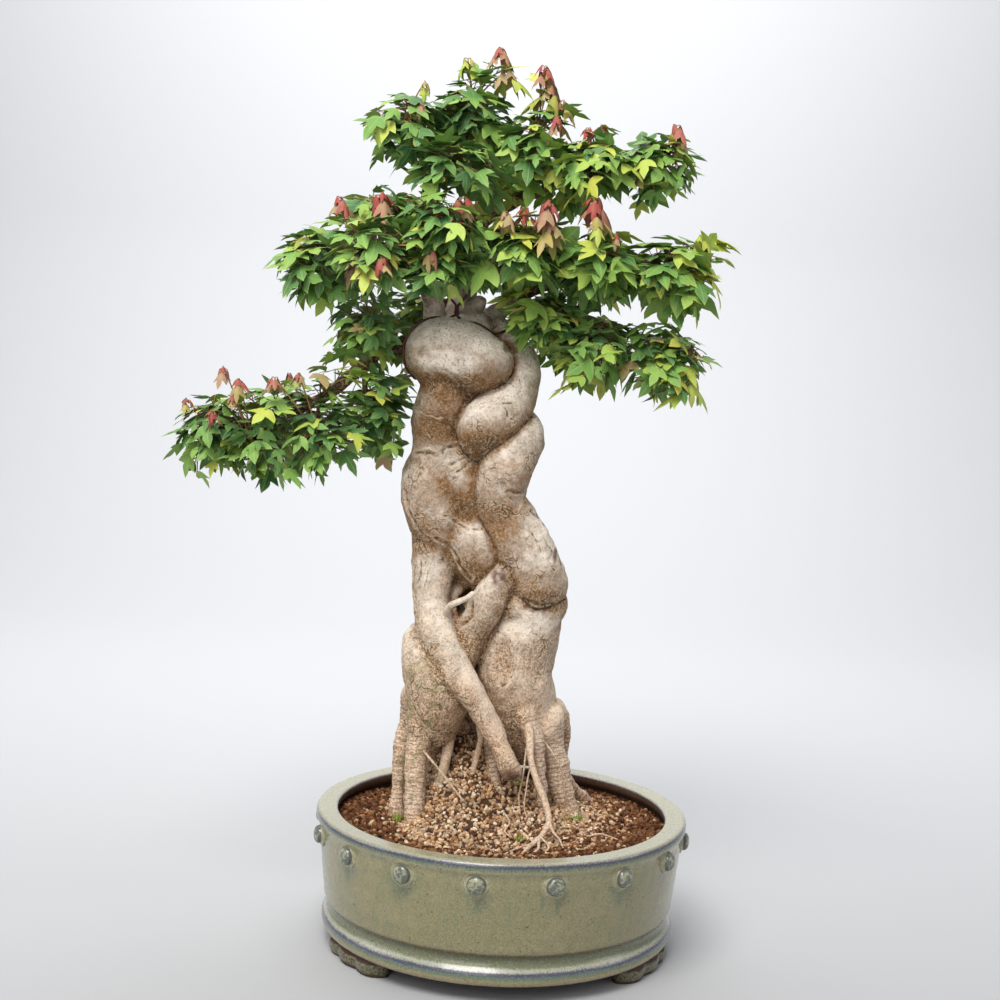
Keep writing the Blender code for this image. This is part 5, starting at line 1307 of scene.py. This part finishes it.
# Right half of a blade's edge, ends of the side veins and places on the rib, in leaf lengths.
BLADE_RIM = [(0.0, 0.0), (0.14, -0.01), (0.29, 0.06), (0.42, 0.19), (0.53, 0.34), (0.60, 0.54),
             (0.46, 0.53), (0.32, 0.50), (0.18, 0.49), (0.215, 0.62), (0.20, 0.75), (0.115, 0.93),
             (0.0, 1.14)]
BLADE_VEINS = [(0.19, 0.18), (0.38, 0.35)]
BLADE_RIB = [(0.0, 0.2), (0.0, 0.42), (0.0, 0.65), (0.0, 0.88)]
BLADE_HALF_THICKNESS = 0.009
LEAF_LENGTH = 23.2
LEAF_GROWTH = {"low_left": 0.92, "mid_right": 1.28, "low_right": 1.08, "leader": 1.0}
LEAVES_MISSING = 0.14
SHOOTS_PER_PAD = 16
# Places along a shoot, and the shares of it where its leaves sit.
SHOOT_STEPS = 9
LEAF_NODES = (0.36, 0.62, 0.84, 1.0)
# No leaf hangs in front of the wire: middle and half sizes in (x, z), and how far back this goes.
WIRE_WINDOW_MIDDLE = np.array([-102, 592])
WIRE_WINDOW_HALF = np.array([22, 36])
WIRE_WINDOW_BACK = 26
# Ends of shoots that reach out of their pad's oval.
FAR_SHOOTS = {
    "top_mid": [(-34, 30, 862), (-62, 30, 850)],
    "top_front": [(-34, 2, 732), (-16, 14, 740), (-44, -14, 742), (-24, -6, 752)],
    "low_left_mid": [(-172, -24, 566), (-194, -28, 552), (-216, -30, 542)],
    "low_left_outer": [(-238, -34, 540), (-262, -30, 534)],
    "upper_right_inner": [(9, 15, 842), (24, 12, 822)],
    "upper_right_tip": [(140, 16, 800), (146, 10, 780)],
    "upper_right_mid": [(64, 2, 798)],
    "mid_right_outer": [(176, -2, 698), (160, -24, 648), (168, -10, 668)],
    "low_right_outer": [(152, 4, 572), (156, 10, 604), (172, 8, 590)],
    "low_left_tip": [(-316, -14, 492), (-310, -18, 516), (-313, -12, 470)],
    "mid_left_outer": [(-214, -10, 646), (-212, -14, 688)],
    "top_left": [(-126, 24, 830), (-142, 10, 800)],
    "shoulder_left": [(-172, -4, 600), (-150, 6, 580), (-136, 4, 588), (-128, 40, 614), (-186, 2, 576),
                      (-126, 60, 590), (-122, 64, 572)],
    "low_left_inner": [(-122, 8, 556), (-136, -10, 548), (-128, 0, 522), (-160, -8, 556), (-126, 10, 492),
                       (-124, 58, 556), (-122, 56, 534)],
    "low_right_inner": [(-8, -8, 636), (6, -18, 626), (-2, -14, 644)],
}
half = np.array(BLADE_RIM)
rim = np.vstack([half, half[-2:0:-1] * [-1, 1]])
veins = np.array(BLADE_VEINS)
inner = np.vstack([veins, veins * [-1, 1], BLADE_RIB])
RIM_COUNT, INNER_COUNT = len(rim), len(inner)
blade_plan = np.vstack([rim, inner, inner])


def blade_faces():
    """Triangles of one blade: its right half, the left half as its mirror, then the underside."""
    v1, v2, m1, m2, m3, m4 = (RIM_COUNT + index for index in (0, 1, 4, 5, 6, 7))
    right = [(0, 1, v1), (1, 2, v1), (2, v2, v1), (2, 3, v2), (3, 4, v2), (v2, 4, 5), (v2, 5, 6),
             (v1, v2, 6), (v1, 6, 7), (0, v1, m1), (v1, m2, m1), (v1, 7, m2), (7, 8, m2), (m2, 8, m3),
             (8, 9, m3), (9, m4, m3), (9, 10, m4), (10, 11, m4), (11, 12, m4)]
    other = {index: (RIM_COUNT - index) % RIM_COUNT for index in range(RIM_COUNT)}
    other.update({v1: v1 + 2, v2: v2 + 2, m1: m1, m2: m2, m3: m3, m4: m4})
    upper = right + [tuple(other[index] for index in reversed(face)) for face in right]
    lower = [tuple(index + INNER_COUNT if index >= RIM_COUNT else index for index in reversed(face))
             for face in upper]
    return np.array(upper + lower)


BLADE_FACES = blade_faces()


def blades(name, bases, along, facing, lengths, curl, fold, draw, tones, youth, slim=1.0):
    """Leaves as one mesh, a blade's plan laid along and across each and bent.

    z falls with the square of the way along and of the way across, and folds up from the rib. Every
    blade has a little width, a lean and a ripple of its own.
    """
    count = len(bases)
    facing = unit(facing - along * np.einsum("ij,ij->i", facing, along)[:, None])
    across = np.cross(along, facing)
    widths = draw.uniform(0.86, 1.12, (count, 1)) * slim
    lobes = draw.uniform(0.86, 1.16, (count, 1))
    u = blade_plan[None, :, 0] * widths * np.where(np.abs(blade_plan[None, :, 0]) > 0.3, lobes, 1.0)
    v = blade_plan[None, :, 1] * np.ones((count, 1))
    u = u + 0.05 * draw.uniform(-1, 1, (count, 1)) * v ** 2
    bend = curl[:, None]
    z = -bend * v ** 2 * 0.62 - 0.42 * (0.35 + bend) * u ** 2 + fold[:, None] * np.abs(u)
    z = z + 0.035 * np.sin(9 * v + draw.uniform(0, 6, (count, 1))) * np.abs(u) * 2
    v = v * (1 - 0.16 * bend * v)
    layer = np.zeros(len(blade_plan))
    layer[RIM_COUNT:RIM_COUNT + INNER_COUNT] = BLADE_HALF_THICKNESS
    layer[RIM_COUNT + INNER_COUNT:] = -BLADE_HALF_THICKNESS
    z = z + layer
    size = lengths[:, None, None]
    points = bases[:, None] + size * (u[..., None] * across[:, None] + v[..., None] * along[:, None]
                                      + z[..., None] * facing[:, None])
    shift = (np.arange(count) * len(blade_plan))[:, None, None]
    item = shaped(name, points.reshape(-1, 3), [(BLADE_FACES[None] + shift).reshape(-1, 3)])
    note(item, "tone", np.repeat(tones, len(blade_plan)))
    note(item, "youth", np.repeat(youth, len(blade_plan)))
    below = np.zeros(len(blade_plan))
    below[RIM_COUNT + INNER_COUNT:] = 1.0
    note(item, "below", np.tile(below, count))
    rim_line = np.zeros(len(blade_plan))
    rim_line[:RIM_COUNT] = 1.0
    note(item, "margin", np.tile(rim_line, count))
    corners = np.empty(len(item.data.loops), int)
    item.data.loops.foreach_get("vertex_index", corners)
    chart = item.data.uv_layers.new(name="blade")
    spots = blade_plan[corners % len(blade_plan)] * 0.5 + [0.5, 0.0]
    chart.data.foreach_set("uv", spots.ravel().astype(np.float32))
    ends = np.empty(len(item.data.edges) * 2, int)
    item.data.edges.foreach_get("vertices", ends)
    ends = ends.reshape(-1, 2) % len(blade_plan)
    gap = np.abs(ends[:, 0] - ends[:, 1])
    on_rim = (ends < RIM_COUNT).all(1) & ((gap == 1) | (gap == RIM_COUNT - 1))
    item.data.attributes.new("sharp_edge", "BOOLEAN", "EDGE").data.foreach_set("value", on_rim)
    return item


def leaf_finish(name):
    """Leaf: tone runs from deep to yellow green, youth to gold and red; pale ribs, paler underside."""
    leaf = Finish(name, Specular_IOR_Level=0.3)
    spot, _ = leaf.place()
    chart = leaf.node("ShaderNodeUVMap", {"uv_map": "blade"}, {})
    split = leaf.node("ShaderNodeSeparateXYZ", {}, {"Vector": chart})
    u = leaf.function("ABSOLUTE", (split - 0.5) * 2.0)
    v = Socket(leaf, split.link.node.outputs[1]) * 2.0
    tone = leaf.carried("tone")
    youth = leaf.carried("youth")
    below = leaf.carried("below")
    margin = leaf.carried("margin")
    patch = leaf.grain(spot, 9.0, 3.0, 0.6)
    stops = [(0.0, (0.036, 0.115, 0.034)), (0.3, (0.108, 0.252, 0.064)), (0.55, (0.205, 0.385, 0.08)),
             (0.78, (0.36, 0.515, 0.092)), (1.0, (0.56, 0.58, 0.09))]
    body = leaf.ramp(tone + (patch - 0.5) * 0.3, stops)
    cool = leaf.ease(leaf.grain(spot, 38.0, 2.0), 0.46, 0.6) * (1 - leaf.ease(tone, 0.35, 0.7))
    body = leaf.mix(cool * 0.5, body, (0.075, 0.20, 0.085))
    young = [(0.0, (0.32, 0.40, 0.07)), (0.3, (0.46, 0.40, 0.09)), (0.55, (0.38, 0.27, 0.15)),
             (0.78, (0.38, 0.13, 0.095)), (1.0, (0.36, 0.065, 0.055))]
    fresh = leaf.ramp(youth + (patch - 0.5) * 0.5, young)
    grown = 1 - leaf.ease(youth, 0.05, 0.3)
    body = leaf.mix(1 - grown, body, fresh)
    rib = 1 - leaf.ease(u, 0.008, 0.03)
    slant = leaf.function("ABSOLUTE", u * 0.51 - v * 0.86)
    side_rib = (1 - leaf.ease(slant, 0.008, 0.026)) * (1 - leaf.ease(u, 0.5, 0.66))
    comb = leaf.function("SINE", (v - u * 0.9) * 44.0)
    fine = leaf.ease(comb, 0.8, 1.0) * 0.35
    ribs = leaf.node("ShaderNodeMath", {"operation": "MAXIMUM"}, {0: rib, 1: side_rib})
    body = leaf.mix((ribs * 0.32 + fine * 0.15) * (0.3 + grown * 0.7), body, (0.42, 0.50, 0.22))
    body = leaf.mix(leaf.ease(margin, 0.7, 1.0) * 0.3 * grown, body, (0.46, 0.44, 0.10))
    body = leaf.mix(below * 0.45, body, leaf.mix(grown, (0.30, 0.20, 0.15), (0.30, 0.43, 0.15)))
    leaf.feed("Base Color", body)
    leaf.feed("Roughness", 0.46 + below * 0.25 + patch * 0.1)
    leaf.relief(patch * 0.35 - ribs * 0.5 - fine * 0.5, 0.25)
    return leaf.material


def shoot_finish(name):
    """Shoots and stalks: brown wood at the base, green further out, stalks flushed red."""
    stalk = Finish(name, Roughness=0.5)
    spot, _ = stalk.place()
    flush = stalk.carried("flush")
    patch = stalk.grain(spot, 12.0)
    stops = [(0.0, (0.085, 0.05, 0.032)), (0.35, (0.16, 0.12, 0.06)), (0.6, (0.30, 0.24, 0.09)),
             (1.0, (0.42, 0.13, 0.08))]
    stalk.feed("Base Color", stalk.ramp(flush + (patch - 0.5) * 0.5, stops))
    return stalk.material


leaf_green = leaf_finish("maple_leaf")
shoot_brown = shoot_finish("shoots_and_stalks")


def in_wood(points, margin):
    """True where a point lies inside the trunk's strands or nearer to them than the margin."""
    gaps = (np.linalg.norm(points[:, None] - curve[None, :, :3], axis=2) - curve[None, :, 3]
            for curve in strand_curves)
    return np.array([gap.min(1) < margin for gap in gaps]).any(0)


def pad_tips(pad, draw):
    """Ends of a pad's shoots: a spiral of even steps over the pad's oval, shaken and drawn in a little."""
    _, _, centre, half_sizes = PADS[pad]
    step = np.arange(SHOOTS_PER_PAD) + 0.5
    rise = 1 - 2 * step / SHOOTS_PER_PAD
    angle = step * np.pi * (3 - 5 ** 0.5) + draw.uniform(0, 6)
    flat = np.sqrt(1 - rise ** 2)
    spread = np.stack([flat * np.cos(angle), flat * np.sin(angle), rise], 1)
    spread = spread + draw.normal(0, 0.12, (SHOOTS_PER_PAD, 3))
    shares = draw.uniform(0.34, 0.76, (SHOOTS_PER_PAD, 1))
    tips = np.array(centre, float) + spread * np.array(half_sizes, float) * shares
    far = FAR_SHOOTS.get(pad)
    return np.vstack([tips, far]) if far else tips


for number, (pad, (_, _, pad_centre, pad_halves)) in enumerate(PADS.items()):
    pad_draw = np.random.default_rng(700 + number)
    middle = np.array(pad_centre, float)
    stem_path, stem_widths = stems[pad]
    tips = pad_tips(pad, pad_draw)
    reach = np.linalg.norm(tips[:, None] - stem_path[None], axis=2).argmin(1)
    roots = stem_path[np.clip(reach - pad_draw.integers(1, 5, len(tips)), 4, STEM_STEPS - 1)]
    stem_way = unit(stem_path[-1] - stem_path[5])
    distance = np.linalg.norm(tips - roots, axis=1, keepdims=True)
    bends = (roots + tips) / 2 + (stem_way * 0.22 + np.array([0, 0, 0.12])) * distance
    shoots = bowed(roots, bends, tips, SHOOT_STEPS)
    shoot_radii = np.linspace(1.25, 0.55, SHOOT_STEPS) * np.ones((len(tips), 1))
    shoot_end = unit(shoots[:, -1] - shoots[:, -3])

    # Leaves up each shoot: pairs that turn by a right angle from one to the next, and one at its end.
    places, sides_out, reaches, ends = [], [], [], []
    for rank, share in enumerate(LEAF_NODES):
        spot = (shoots[:, 0] * (1 - share) ** 2 + 2 * share * (1 - share) * bends
                + share ** 2 * shoots[:, -1])
        arm = unit(np.cross(shoot_end, np.array([0.15, 0.2, 1.0])))
        other_arm = np.cross(shoot_end, arm)
        turn = rank * np.pi / 2 + pad_draw.uniform(-0.4, 0.4, (len(tips), 1))
        arm = np.cos(turn) * arm + np.sin(turn) * other_arm
        for sign in (-1, 1) if share < 1 else (0,):
            places.append(spot)
            sides_out.append(arm * sign)
            reaches.append(np.full(len(tips), share))
            ends.append(shoot_end)
    nodes_at = np.vstack(places)
    side_out = np.vstack(sides_out)
    reach_at = np.concatenate(reaches)
    end_way = np.vstack(ends)

    # Each leaf's stalk, way and size.
    outward = unit(nodes_at - middle + np.array([0, 0, 4.0]))
    stalk_way = unit(side_out * 0.95 + end_way * 0.55 + outward * 0.35
                     + pad_draw.normal(0, 0.18, nodes_at.shape) + np.array([0, 0, 0.12]))
    stalk_length = pad_draw.uniform(7, 20, len(nodes_at)) * (1.15 - 0.45 * reach_at)
    sag = stalk_length ** 2 / 140
    bases = nodes_at + stalk_way * stalk_length[:, None] - UP * sag[:, None]
    facing = unit(np.array([0, 0, 0.85]) + outward * 0.6 + pad_draw.normal(0, 0.36, nodes_at.shape))
    along = (stalk_way * 0.8 + outward * 0.35 - np.array([0, 0, 0.45])
             + pad_draw.normal(0, 0.5, nodes_at.shape))
    along = unit(along - facing * np.einsum("ij,ij->i", along, facing)[:, None])
    growth = LEAF_GROWTH.get(PADS[pad][0], 1.0)
    lengths = LEAF_LENGTH * growth * pad_draw.uniform(0.66, 1.3, len(nodes_at)) * (1.1 - 0.22 * reach_at)

    # Leaves left out: those that would reach into wood or hang before the wire, and some by chance.
    far_ends = bases + along * lengths[:, None]
    clear = ~(in_wood(bases, 5.0) | in_wood(far_ends, 2.0) | in_wood(nodes_at, 1.0))
    clear &= pad_draw.random(len(nodes_at)) > LEAVES_MISSING
    both_ends = np.stack([bases, far_ends])
    in_window = (np.abs(both_ends[..., [0, 2]] - WIRE_WINDOW_MIDDLE) < WIRE_WINDOW_HALF).all(-1)
    clear &= ~(in_window & (both_ends[..., 1] < WIRE_WINDOW_BACK)).any(0)
    nodes_at, bases, along, facing = (part[clear] for part in (nodes_at, bases, along, facing))
    lengths, reach_at, stalk_way, stalk_length = (
        part[clear] for part in (lengths, reach_at, stalk_way, stalk_length))

    # Tone and youth, then the meshes. Leaves deep inside a pad get a darker tone: painted shade.
    depth = np.linalg.norm((bases - middle) / np.array(pad_halves, float), axis=1)
    tones = 0.34 + 0.30 * (depth - 0.7) + 0.24 * (reach_at - 0.5) + pad_draw.normal(0, 0.19, len(bases))
    tones = np.clip(tones, 0, 1)
    tones += (0.14 if "right" in pad else 0.0) + 0.35 * (pad_draw.random(len(bases)) > 0.9)
    is_young = (reach_at == 1.0) & (pad_draw.random(len(bases)) > 0.88)
    youth = np.where(is_young, pad_draw.uniform(0.15, 0.5, len(bases)), 0.0)
    curl = pad_draw.uniform(0.0, 0.5, len(bases))
    fold = pad_draw.uniform(-0.1, 0.18, len(bases))
    pad_leaves = blades("leaves_" + pad, bases, along, facing, lengths, curl, fold, pad_draw,
                        np.clip(tones, 0, 1), youth)
    pad_leaves.data.materials.append(leaf_green)
    stalk_bend = nodes_at + stalk_way * stalk_length[:, None] * 0.55 + np.array([0, 0, 1.2])
    stalks = bowed(nodes_at, stalk_bend, bases, 5)
    shoot_points, shoot_faces = bars(shoots, shoot_radii, 5)
    stalk_points, stalk_faces = bars(stalks, np.full((len(bases), 5), 0.48), 4)
    end_from = STEM_STEPS_IN_WOOD - 2
    end_points, end_faces = bars(stem_path[None, end_from:], stem_widths[None, end_from:], 8)
    pad_twigs = shaped("twigs_" + pad, *joined([(shoot_points, shoot_faces), (stalk_points, stalk_faces),
                                                (end_points, end_faces)]))
    counts = [len(shoot_points), len(stalk_points), len(end_points)]
    note(pad_twigs, "flush", np.repeat([0.3, 0.85, 0.05], counts))
    pad_twigs.data.materials.append(shoot_brown)
    for piece in (pad_leaves, pad_twigs):
        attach(piece, "root")
        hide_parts("spray_" + pad)

# New growth. At the tips of strong shoots the newest leaves hang folded like small umbrellas,
# red and bronze, each bunch on its own thin shoot.

# Bunches: pad, place of the tip, length of a leaf, how red. Pairs of leaves in a bunch, from the top
# down: shift along the shoot and length, both in leaf lengths, and how much redder.
NEW_GROWTH = [
    ("top_mid", (-34, 26, 884), 22, 0.7), ("top_mid", (-66, 24, 872), 20, 0.25),
    ("top_mid", (-28, 22, 862), 22, 0.45), ("upper_right_inner", (9, 13, 866), 24, 0.95),
    ("upper_right_inner", (14, 11, 846), 24, 0.55), ("upper_right_inner", (27, 16, 834), 18, 0.7),
    ("upper_right_inner", (24, -6, 815), 18, 0.85), ("upper_right_mid", (54, -4, 806), 14, 0.9),
    ("upper_right_mid", (68, 2, 810), 15, 0.85), ("upper_right_mid", (70, -14, 789), 10, 0.9),
    ("upper_right_tip", (141, 14, 815), 22, 0.8), ("upper_right_tip", (146, 10, 798), 22, 0.35),
    ("top_left", (-107, -12, 820), 12, 0.75), ("top_left", (-106, 0, 844), 16, 0.3),
    ("mid_left_upper", (-140, -30, 733), 22, 0.95), ("mid_left_upper", (-182, -20, 728), 20, 0.9),
    ("centre_front", (-63, -70, 727), 22, 0.95), ("centre_front", (-76, -78, 716), 15, 0.6),
    ("mid_right_inner", (-4, -70, 720), 20, 0.95), ("mid_right_inner", (18, -70, 728), 24, 0.95),
    ("mid_right_inner", (20, -74, 708), 24, 0.55), ("mid_right_inner", (-22, -72, 716), 18, 0.5),
    ("mid_right_mid", (61, -44, 735), 25, 0.97), ("mid_right_mid", (64, -52, 716), 22, 0.42),
    ("mid_right_mid", (84, -44, 702), 10, 0.9), ("mid_left_front", (-90, -84, 679), 17, 0.85),
    ("mid_left_front", (-133, -94, 668), 19, 0.85), ("mid_left_front", (-158, -88, 668), 18, 0.6),
    ("low_left_outer", (-284, -46, 561), 15, 0.85), ("low_left_outer", (-268, -54, 550), 14, 0.8),
    ("low_left_mid", (-234, -52, 553), 13, 0.85), ("low_left_tip", (-322, -28, 529), 13, 0.75),
    ("low_left_outer", (-272, -62, 534), 12, 0.8), ("low_left_tip", (-291, -56, 519), 13, 0.85),
    ("low_left_mid", (-211, -56, 558), 12, 0.6), ("low_left_back", (-240, 96, 556), 14, 0.8),
    ("mid_left_back", (-180, 130, 714), 18, 0.85), ("top_back", (-80, 150, 846), 18, 0.8),
    ("upper_right_back", (36, 138, 812), 18, 0.85), ("mid_right_back", (84, 146, 722), 18, 0.8),
    ("back_mid", (-50, 186, 726), 16, 0.85), ("low_right_back", (62, 150, 648), 16, 0.7),
    ("low_right_outer", (168, 16, 600), 14, 0.5), ("mid_right_outer", (168, -4, 708), 24, 0.15),
    ("low_right_outer", (168, 0, 568), 26, 0.12),
]
TUFT_PAIRS = [(0.0, 0.72, 0.08), (-0.16, 0.95, 0.0), (-0.38, 1.12, -0.28)]
TUFT_STEPS = 12
growth_draw = np.random.default_rng(91)
tuft_tips = np.array([place for _, place, _, _ in NEW_GROWTH], float)
tuft_wide = 1.12 * np.array([size for _, _, size, _ in NEW_GROWTH], float)
tuft_red = np.array([youth for _, _, _, youth in NEW_GROWTH])
tuft_roots = np.array([stems[pad][0][-2] for pad, _, _, _ in NEW_GROWTH])
tuft_bends = (tuft_roots + tuft_tips) / 2 + np.array([0, 0, 5.0])
tuft_shoots = bowed(tuft_roots, tuft_bends, tuft_tips, TUFT_STEPS)
nodes_of, rays, lengths_of, reds = [], [], [], []
first_turn = growth_draw.uniform(0, np.pi, len(tuft_tips))
for rank, (drop, swell, redness) in enumerate(TUFT_PAIRS):
    for side in (0, 1):
        spin = first_turn + rank * np.pi / 2 + side * np.pi + growth_draw.uniform(-0.3, 0.3, len(tuft_tips))
        rays.append(np.stack([np.cos(spin), np.sin(spin), 0 * spin], 1))
        nodes_of.append(tuft_tips + np.outer(drop * tuft_wide, [0, 0, 1.0]))
        lengths_of.append(tuft_wide * swell * growth_draw.uniform(0.55, 1.05, len(tuft_tips)))
        reds.append(np.clip(tuft_red + redness + growth_draw.normal(0, 0.08, len(tuft_tips)), 0.1, 1))
tuft_nodes, ray = np.vstack(nodes_of), np.vstack(rays)
tuft_lengths, tuft_youth = np.concatenate(lengths_of), np.concatenate(reds)
tuft_bases = tuft_nodes + (ray * 0.3 + np.array([0, 0, 0.06])) * tuft_lengths[:, None]
tuft_droop = growth_draw.uniform(0.45, 1.35, len(ray))[:, None]
tuft_along = unit(ray * np.cos(tuft_droop) - UP * np.sin(tuft_droop))
tuft_facing = unit(ray * np.sin(tuft_droop) + UP * np.cos(tuft_droop))
tuft_curl = growth_draw.uniform(0.25, 0.6, len(ray))
tuft_fold = growth_draw.uniform(-0.9, -0.45, len(ray))
young_leaves = blades("new_growth_leaves", tuft_bases, tuft_along, tuft_facing, tuft_lengths, tuft_curl,
                      tuft_fold, growth_draw, np.full(len(ray), 0.85), tuft_youth, 0.66)
young_leaves.data.materials.append(leaf_green)
tuft_stalks = bowed(tuft_nodes, (tuft_nodes + tuft_bases) / 2 + np.array([0, 0, 2.0]), tuft_bases, 4)
tuft_radii = np.linspace(1.0, 0.6, TUFT_STEPS) * np.ones((len(tuft_tips), 1))
young_shoots = shaped("new_growth_shoots", *joined([
    bars(tuft_shoots, tuft_radii, 5), bars(tuft_stalks, np.full((len(tuft_bases), 4), 0.45), 4)]))
note(young_shoots, "flush", np.full(len(young_shoots.data.vertices), 0.8))
young_shoots.data.materials.append(shoot_brown)
for piece in (young_leaves, young_shoots):
    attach(piece, "root")

# Moss. Tufts of bright moss in the shade of the roots and between the stones, each a
# bunch of short tapered blades.

# Tufts: centre, spread, number of blades.
MOSS = [((-38, -2, 140), 9, 130), ((-102, -10, 118), 6, 60), ((-57, -34, 119), 4, 40),
        ((-6, 62, 160), 12, 130), ((64, 0, 120), 7, 80), ((78, 12, 120), 5, 50), ((10, 30, 150), 8, 90),
        ((18, -66, 120), 4, 40), ((150, -44, 119), 5, 40), ((-30, 40, 160), 9, 90),
        ((40, 120, 122), 10, 90), ((-90, 110, 122), 9, 80)]
moss_draw = np.random.default_rng(61)
moss_feet = np.vstack([
    np.array(place, float) + moss_draw.normal(0, 1, (count, 3)) * [spread * 0.45, spread * 0.45, 0.6]
    for place, spread, count in MOSS])
moss_lean = moss_draw.normal(0, 0.5, (len(moss_feet), 3)) + UP
moss_tall = moss_draw.uniform(1.6, 4.2, (len(moss_feet), 1))
moss_bends = moss_feet + unit(moss_lean) * moss_tall * 0.6
moss_ways = bowed(moss_feet, moss_bends, moss_feet + moss_lean * moss_tall, 4)
moss_radii = np.array([0.75, 0.7, 0.5, 0.12]) * np.ones((len(moss_feet), 1))
moss = shaped("moss_tufts", *bars(moss_ways, moss_radii, 4))
moss_green = Finish("bright_moss", Roughness=0.8)
moss_spot, _ = moss_green.place()
moss_colour = moss_green.mix(moss_green.grain(moss_spot, 3.0), (0.10, 0.16, 0.02), (0.34, 0.43, 0.07))
moss_green.feed("Base Color", moss_colour)
moss.data.materials.append(moss_green.material)
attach(moss, "root")

# Studio. A pale floor that sweeps up behind the tree, soft light from above and from both
# sides, and a camera at the height of the middle of the trunk.
SWEEP_HALF_WIDTH = 4.5
SWEEP = [(-3.2, 0.0), (1.6, 0.0), (2.1, 0.03), (2.5, 0.14), (2.85, 0.36), (3.1, 0.7), (3.2, 1.1),
         (3.2, 3.6)]
sweep_line = rounded_outline(SWEEP, 3)
steps = len(sweep_line)
floor_mesh = bpy.data.meshes.new("studio_sweep")
floor_places = [(side, *place) for side in (-SWEEP_HALF_WIDTH, SWEEP_HALF_WIDTH) for place in sweep_line]
floor_mesh.from_pydata(floor_places, [],
                       [(row, row + steps, row + steps + 1, row + 1) for row in range(steps - 1)])
floor_mesh.polygons.foreach_set("use_smooth", np.full(steps - 1, True))
floor = bpy.data.objects.new("studio_sweep", floor_mesh)
bpy.context.scene.collection.objects.link(floor)
paper = Finish("pale_paper", Roughness=0.9)
paper.surface.inputs["Base Color"].default_value = (0.445, 0.453, 0.466, 1.0)
floor_mesh.materials.append(paper.material)

sky = bpy.data.worlds.new("soft_sky")
sky.use_nodes = True
sky.node_tree.nodes["Background"].inputs["Color"].default_value = (0.93, 0.95, 1.0, 1.0)
sky.node_tree.nodes["Background"].inputs["Strength"].default_value = 0.36
bpy.context.scene.world = sky
bpy.context.scene.view_settings.view_transform = "Standard"
WARM_LIGHT = (1.0, 0.97, 0.93)
WHITE_LIGHT = (1.0, 1.0, 1.0)
LAMPS = [("top_soft", (-0.45, -1.35, 2.25), (0.03, 0.0, 0.5), 1.2, 55.0, WARM_LIGHT),
         ("front_soft", (-0.7, -2.3, 1.15), (0.03, 0.0, 0.5), 1.3, 13.0, WARM_LIGHT),
         ("left_soft", (-2.1, -0.2, 1.2), (0.03, 0.0, 0.45), 1.2, 7.0, WHITE_LIGHT),
         ("right_soft", (2.1, -0.4, 1.1), (0.03, 0.0, 0.45), 1.0, 5.0, WHITE_LIGHT),
         ("backdrop_soft", (0.0, 1.28, 2.56), (0.0, 3.12, 0.96), 2.5, 123.0, WHITE_LIGHT)]
for lamp, place, aim, size, power, colour in LAMPS:
    light = bpy.data.lights.new(lamp, "AREA")
    light.shape = "SQUARE"
    light.size = size
    light.energy = power
    light.color = colour
    holder = bpy.data.objects.new(lamp, light)
    holder.location = place
    holder.rotation_euler = (Vector(aim) - Vector(place)).to_track_quat("-Z", "Y").to_euler()
    bpy.context.scene.collection.objects.link(holder)

CAMERA_FROM_AXIS = (-0.0152, -1.540, 0.5715)
CAMERA_DOWN = math.radians(4.79)
CAMERA_ROLL = math.radians(2.58)
CAMERA_LENS = 56.32
lens = bpy.data.cameras.new("photo_view")
lens.sensor_width = 36.0
lens.lens = CAMERA_LENS
viewer = bpy.data.objects.new("photo_view", lens)
viewer.location = [place + start * 0.001 for place, start in zip(CAMERA_FROM_AXIS, POT_AXIS)]
tilt = Matrix.Rotation(math.pi / 2 - CAMERA_DOWN, 4, "X")
viewer.rotation_euler = (tilt @ Matrix.Rotation(CAMERA_ROLL, 4, "Z")).to_euler()
bpy.context.scene.collection.objects.link(viewer)
bpy.context.scene.camera = viewer
